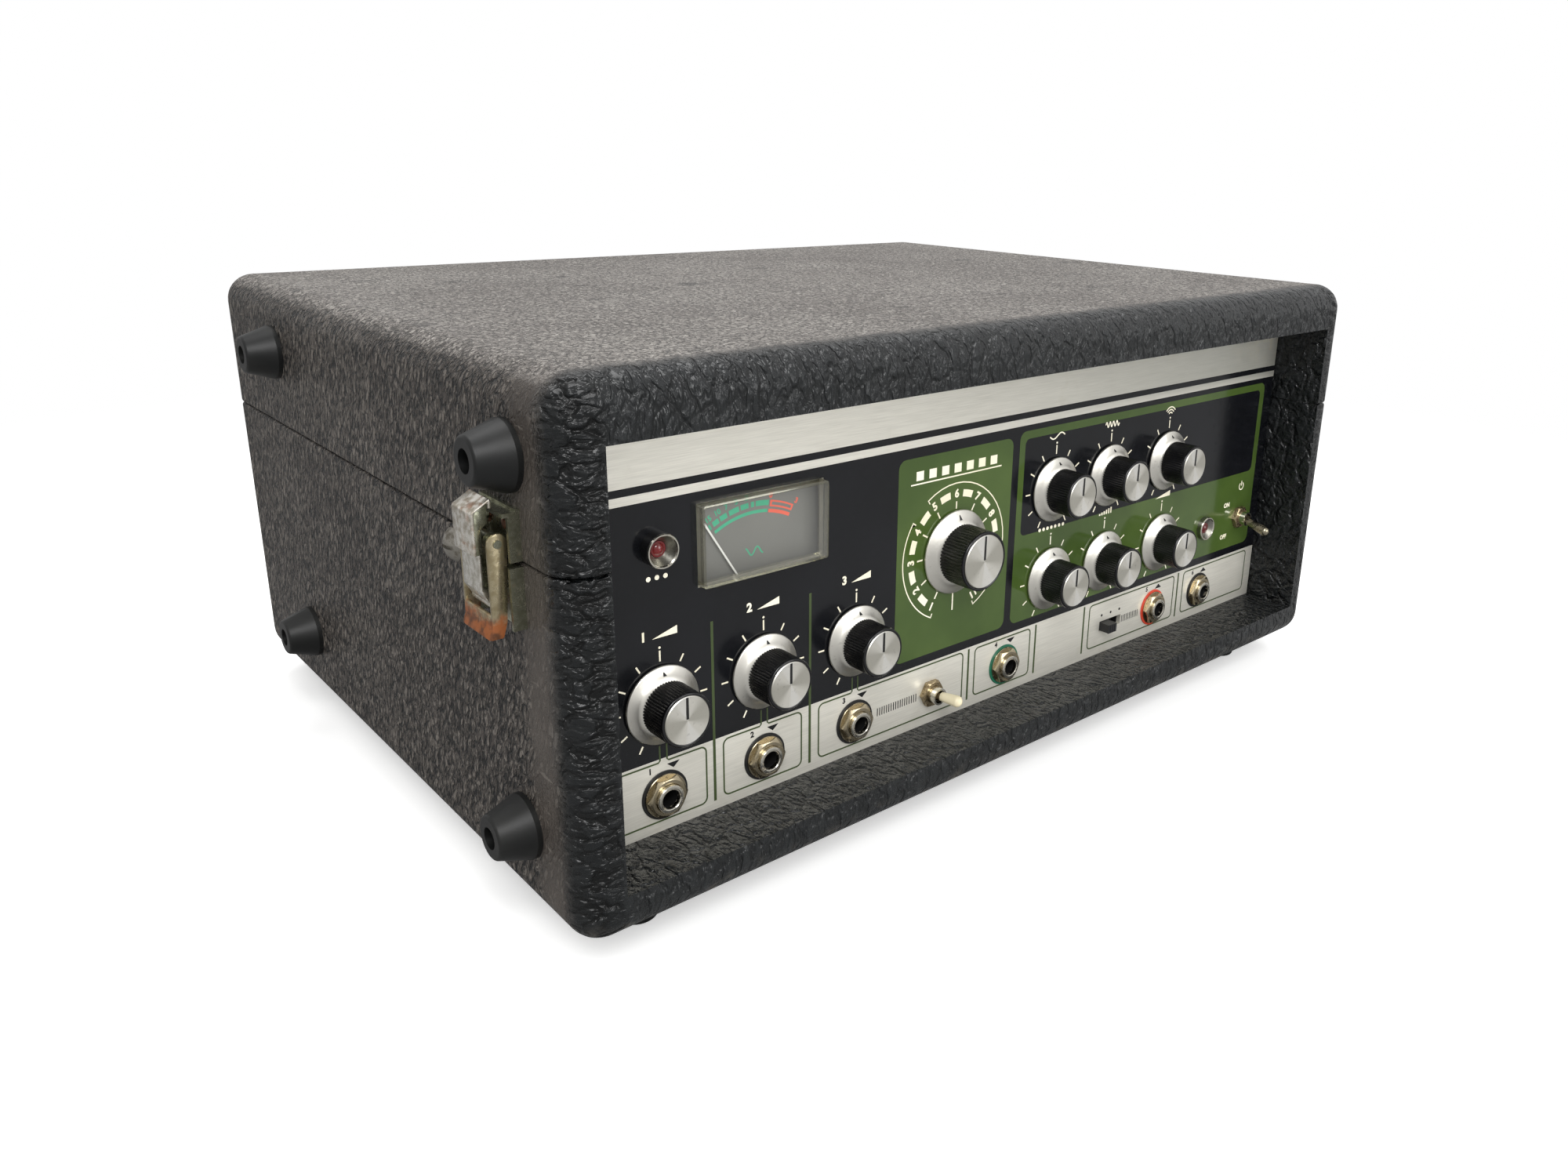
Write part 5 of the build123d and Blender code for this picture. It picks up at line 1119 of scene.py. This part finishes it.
BLOCKS = ((-30.4, -29.2), (-27.6, -23.6), (-22.5, -17.9), (-16.4, -9.9), (-8.7, -3.6), (-2.0, 0.1),
          (1.2, 9.9))
green = [about_pivot(33.4, 35.2, *ends) for ends in BLOCKS] + [about_pivot(31.1, 32.2, -28.8, 9.6, 30)]
green += [wave(PIVOT_X, 101.5, 7.0, 2.6, 1.5)]
red = [about_pivot(*sides)
       for sides in ((33.0, 35.2, 10.9, 27.2), (33.6, 34.6, 12.2, 26.0), (31.0, 32.2, 10.5, 26.8))]
GREEN_TEXTS = (("15", -28.6), ("10", -22.6), ("7", -17.0), ("5", -10.8), ("3", -4.6))
RED_TEXTS = (("0", 10.7), ("3", 28.0))
for name, outlines, texts, radius, size, finish in (
        ("green", green, GREEN_TEXTS, 36.9, 2.5, ink_finish("dial_green", "2fa47a", "35a87f", 0.5, 0.0)),
        ("red", red, RED_TEXTS, 36.7, 2.6, ink_finish("dial_red", "e0593c", "e46245", 0.5, 0.0))):
    figures = [(text, *clock(PIVOT_X, PIVOT_UP, radius, turn), size, turn) for text, turn in texts]
    ink("dial_print_" + name, outlines, DIAL_INK, finish, figures, on_dial)
print("dial shapes", len(green) + len(red), "numbers", len(GREEN_TEXTS) + len(RED_TEXTS))


# %% Clear cover
def clear_finish(name, least_shine, tint):
    """Clear plastic without bending the light: clear and shiny shaders mixed by the angle of view."""
    made, place = start_finish(name)
    tree = made.node_tree
    clear, shiny = tree.nodes.new("ShaderNodeBsdfTransparent"), tree.nodes.new("ShaderNodeBsdfGlossy")
    fill(tree, shiny.inputs, {"Color": linear(tint), "Roughness": 0.06})
    facing = place.node("LayerWeight", {"Blend": 0.3}, out="Fresnel")
    dust = place.noise(0.4, detail=5).step(0.55, 0.8) * 0.03
    share = (facing * 0.5 + least_shine + dust).least(1.0)
    blend_shaders(tree, share, clear, shiny, tree.nodes.new("ShaderNodeOutputMaterial"))
    return made


def cover_ring(inset, height):
    """The cover's outline drawn in by an inset, this far out from the panel."""
    flat = np.array(round_box(meter_low[0] + inset, meter_low[2] + inset, meter_high[0] - inset,
                              meter_high[2] - inset, max(1.4 - inset, 0.25)))
    return np.column_stack([flat[:, 0], np.full(len(flat), PANEL_FACE - height), flat[:, 1]])


COVER_FRONT = PANEL_FACE - meter_low[1]
pane = cover_ring(1, COVER_FRONT)
piece("meter_cover_pane", (pane, [list(range(len(pane)))]), clear_finish("cover_pane", 0.035, "ffffff"),
      "case", ["meter_cover"])
COVER_BACK = -1.9
levels = [(0.0, COVER_BACK), (0.0, COVER_FRONT - 0.7), (0.2, COVER_FRONT - 0.2), (0.6, COVER_FRONT),
          (1.0, COVER_FRONT), (0.8, COVER_FRONT - 0.8), (0.75, COVER_BACK), (0.0, COVER_BACK)]
edge = sheet_of(np.stack([cover_ring(inset, height) for inset, height in levels], 1))
piece("meter_cover_edge", edge, clear_finish("cover_edge", 0.13, "f0eedd"), "case",
      ["meter_cover"], sharp=30)
print("cover stands", COVER_FRONT, "mm out from the panel")

# %% [markdown]
# ## Draw latches
#
# Each latch is bent from sheet, so nothing on it has a hard corner. A prism is worked out from its
# outline in the plane of (out from the board, up from the split): each corner is replaced by a curve
# that touches both sides, and both ends of the prism are drawn in by a fraction of a millimetre.

# %% Rounded prisms
def filleted(corners, radius, count=5):
    """Each corner becomes a curve that leaves both sides r / tan(a / 2) away, a being its angle."""
    corners, outline = np.array(corners, float), []
    for index, here in enumerate(corners):
        one, other = corners[index - 1] - here, corners[(index + 1) % len(corners)] - here
        room = min(np.linalg.norm(one), np.linalg.norm(other)) * 0.45
        one, other = one / np.linalg.norm(one), other / np.linalg.norm(other)
        half = np.arccos(np.clip(one @ other, -1, 1)) / 2
        back = min(radius / np.tan(half), room)
        start, end = here + one * back, here + other * back
        outline += [(1 - t) ** 2 * start + 2 * t * (1 - t) * here + t ** 2 * end
                    for t in np.linspace(0, 1, count)]
    return np.array(outline)


def soft_prism(corners, low, high, radius=0.8, soft=0.3):
    """A prism along Z between two heights, its ends drawn in along the outline's own normals."""
    flat = filleted(corners, radius)
    along = np.roll(flat, -1, 0) - np.roll(flat, 1, 0)
    normal = np.column_stack([along[:, 1], -along[:, 0]]) / np.linalg.norm(along, axis=1)[:, None]
    following = np.roll(flat, -1, 0)
    turning = np.sum(flat[:, 0] * following[:, 1] - following[:, 0] * flat[:, 1])
    inward = -normal * np.sign(turning)
    rows = [(soft, low), (soft * 0.3, low + soft * 0.3), (0, low + soft), (0, high - soft),
            (soft * 0.3, high - soft * 0.3), (soft, high)]
    return stacked([(flat + inward * inset, height) for inset, height in rows])


print("a square becomes", len(filleted([(0, 0), (4, 0), (4, 4), (0, 4)], 1.0)), "points")


# %% Latch parts
LATCH_ALONG = -116.0     # the latch's middle along the case's side
SPLIT = box_mm("lower_case")[1][2]
PIVOT, LINK = (6.0, 6.5), (6.0, -11.5)    # axes of the lever and of the claw
RIVET_SPREAD, RIVET_OUT, RIVET_UP = 6.4, 1.25, 11.0


def at_latch(side):
    """Out from the board, up from the split and along the case become the frame's x, z and y."""
    wall = box_mm("lower_case")[1][0] * side
    return Matrix(((side, 0, 0, wall), (0, 0, 1, LATCH_ALONG), (0, 1, 0, SPLIT), (0, 0, 0, 1)))


def latch_lever_parts():
    """Two arms that hang from the pivot, and the lip that joins them."""
    arm = arc(*PIVOT, 3.0, 180, 0, 9) + [(9.0, -18.0), (10.2, -21.0), (6.0, -21.0), (4.6, -16.4)]
    arms = [soft_prism(arm, low, low + 1.2, 0.7, 0.28) for low in (-9.2, 8.0)]
    lip = soft_prism([(9.0, -14.0), (9.0, -18.0), (10.2, -21.0), (9.0, -21.0), (7.8, -18.4), (7.8, -14.0)],
                     -8.6, 8.6, 0.5, 0.2)
    return joined(*arms, lip)


def latch_hood_parts():
    """The bent hood over the keeper, and its two cheeks."""
    hood = soft_prism([(11.6, 3.0), (11.6, 15.5), (6.0, 18.7), (5.4, 18.1), (5.4, 15.8), (6.6, 15.8),
                       (6.6, 17.4), (10.4, 15.0), (10.4, 3.0)], -6.25, 6.25, 1.3, 0.4)
    cheek = [(11.3, 3.2), (11.3, 15.4), (6.2, 18.3), (5.7, 18.0), (7.0, 15.8), (7.0, 12.0), (8.9, 10.4),
             (8.9, 3.2)]
    return hood, joined(*[soft_prism(cheek, low, low + 1.1, 0.9, 0.2) for low in (-6.2, 5.1)])


def latch_tongue_parts():
    """The strip from the hood down to its hinge, and the knuckle round the hinge's pin."""
    tongue = soft_prism([(10.1, 5.0), (9.1, 5.0), (9.1, -6.6), (6.0, -9.7), (7.9, -11.4), (10.1, -7.6)],
                        -5.6, 5.6, 0.5, 0.3)
    return joined(tongue, soft_prism(arc(*LINK, 2.0, 0, 330, 12), -6.2, 6.2, 0.6, 0.3))


LATCH_TONGUE = latch_metal("latch_tongue", "dddad2", "b3aea2", 0.25)
COPPER = stained_metal("rivet_copper", "8f6650", "5d4336", 0.5, 0.5, 0.32)
rivet = turned(arc(0, -1.6, 3.2, 30, 90, 8) + [(0, 0), (2.77, 0)], 32)
hood, cheeks = latch_hood_parts()
sheets = (("lever_sheet", latch_lever_parts(), LATCH_LEVER), ("claw_hood", hood, LATCH_HOOD),
          ("claw_cheeks", cheeks, FINISHES["latch_nickel"]),
          ("claw_tongue", latch_tongue_parts(), LATCH_TONGUE))
for side, word in ((-1, "left_"), (1, "right_")):
    stand = at_latch(side)
    for name, part, finish in sheets:
        node = word + "latch_" + name.split("_")[0]
        piece(word + name, placed(part, stand), finish, bodies_of[node], [node], sharp=40)
    for end, spread in (("front", -RIVET_SPREAD), ("rear", RIVET_SPREAD)):
        out = Matrix(((0, 0, side, stand[0][3] + side * RIVET_OUT), (0, 1, 0, LATCH_ALONG + spread),
                      (1, 0, 0, SPLIT + RIVET_UP), (0, 0, 0, 1)))
        piece(f"{word}keeper_rivet_{end}", placed(rivet, out), COPPER, bodies_of["latch_keepers"])
print("split at z", SPLIT, "sheet parts of a latch", len(sheets))

# %% [markdown]
# ## Floor, light and the last lines
#
# A white floor that fades into a white surround, so no horizon shows. Both are white to the camera
# and softer as a light, and reflections see a dimmer room: that keeps black ink black, and leaves
# the metals some contrast. Broad lamps from the front left, above and low in front do the rest.

# %% Floor and light
FLOOR_SIZE = 6.0
FADE = (0.42, 0.85)      # metres from the middle where the floor turns clear
SURROUND, ROOM = 0.5, 0.75    # strength of the surround as a light, and in reflections
FLOOR_SEEN, FLOOR_GLOW = 0.34, 0.42    # the floor's colour in reflections, and its own light


def rays(tree, kind):
    """1 for rays of this kind, otherwise 0."""
    return Wire(tree, tree.nodes.new("ShaderNodeLightPath").outputs[f"Is {kind} Ray"])


def floor_finish():
    """White with a glow of its own, clear far from the middle, and dimmer in reflections."""
    made, place = start_finish("floor")
    tree = made.node_tree
    mirrored = rays(tree, "Glossy")
    white = mirrored.mix("f6f6f5", (FLOOR_SEEN, FLOOR_SEEN, FLOOR_SEEN, 1))
    glow = mirrored.mix((FLOOR_GLOW, FLOOR_GLOW, FLOOR_GLOW, 1), (0.0, 0.0, 0.0, 1))
    end_finish(made, base_color=white, emission_color=glow, emission_strength=1.0, roughness=0.9,
               specular_ior_level=0.0)
    x, y, _ = place.axes()
    away = (x * x + y * y) ** 0.5 * MM
    solid, result = (next(node for node in tree.nodes if node.type == kind)
                     for kind in ("BSDF_PRINCIPLED", "OUTPUT_MATERIAL"))
    clear = tree.nodes.new("ShaderNodeBsdfTransparent")
    blend_shaders(tree, away.step(*FADE) * (1 - mirrored), solid, clear, result)
    return made


def make_floor():
    half = FLOOR_SIZE / 2
    mesh = bpy.data.meshes.new("floor")
    mesh.from_pydata([(x, y, 0) for x, y in box_ring(-half, -half, half, half)], [], [(0, 1, 2, 3)])
    mesh.materials.append(floor_finish())
    show(bpy.data.objects.new("floor", mesh))


def make_surround():
    """White for the camera and clear plastic, dimmer in reflections, and softest as a light."""
    world = bpy.data.worlds.new("surround")
    bpy.context.scene.world = world
    world.use_nodes = True
    tree = world.node_tree
    plain = rays(tree, "Camera").most(rays(tree, "Transmission"))
    strength = SURROUND + rays(tree, "Glossy") * (ROOM - SURROUND) + plain * (1 - SURROUND)
    tree.nodes["Background"].inputs["Color"].default_value = (1, 1, 1, 1)
    tree.links.new(strength.least(1.0).socket, tree.nodes["Background"].inputs["Strength"])


def make_lamp(name, place, aim, size, power):
    """A square area lamp that looks from its place at a point."""
    light = bpy.data.lights.new(name, "AREA")
    light.size, light.energy = size, power
    lamp = show(bpy.data.objects.new(name, light))
    lamp.location = place
    lamp.rotation_euler = (Vector(aim) - Vector(place)).to_track_quat("-Z", "Y").to_euler()


make_floor()
make_surround()
make_lamp("key", (-0.75, -1.1, 1.2), (0, 0, 0.08), 0.7, 15)
make_lamp("top", (0.2, 0.3, 1.5), (0, 0, 0.1), 1.1, 15)
make_lamp("front", (0.5, -1.5, 0.45), (0.05, -0.1, 0.08), 0.8, 7)
print("floor fades between", FADE, "m")
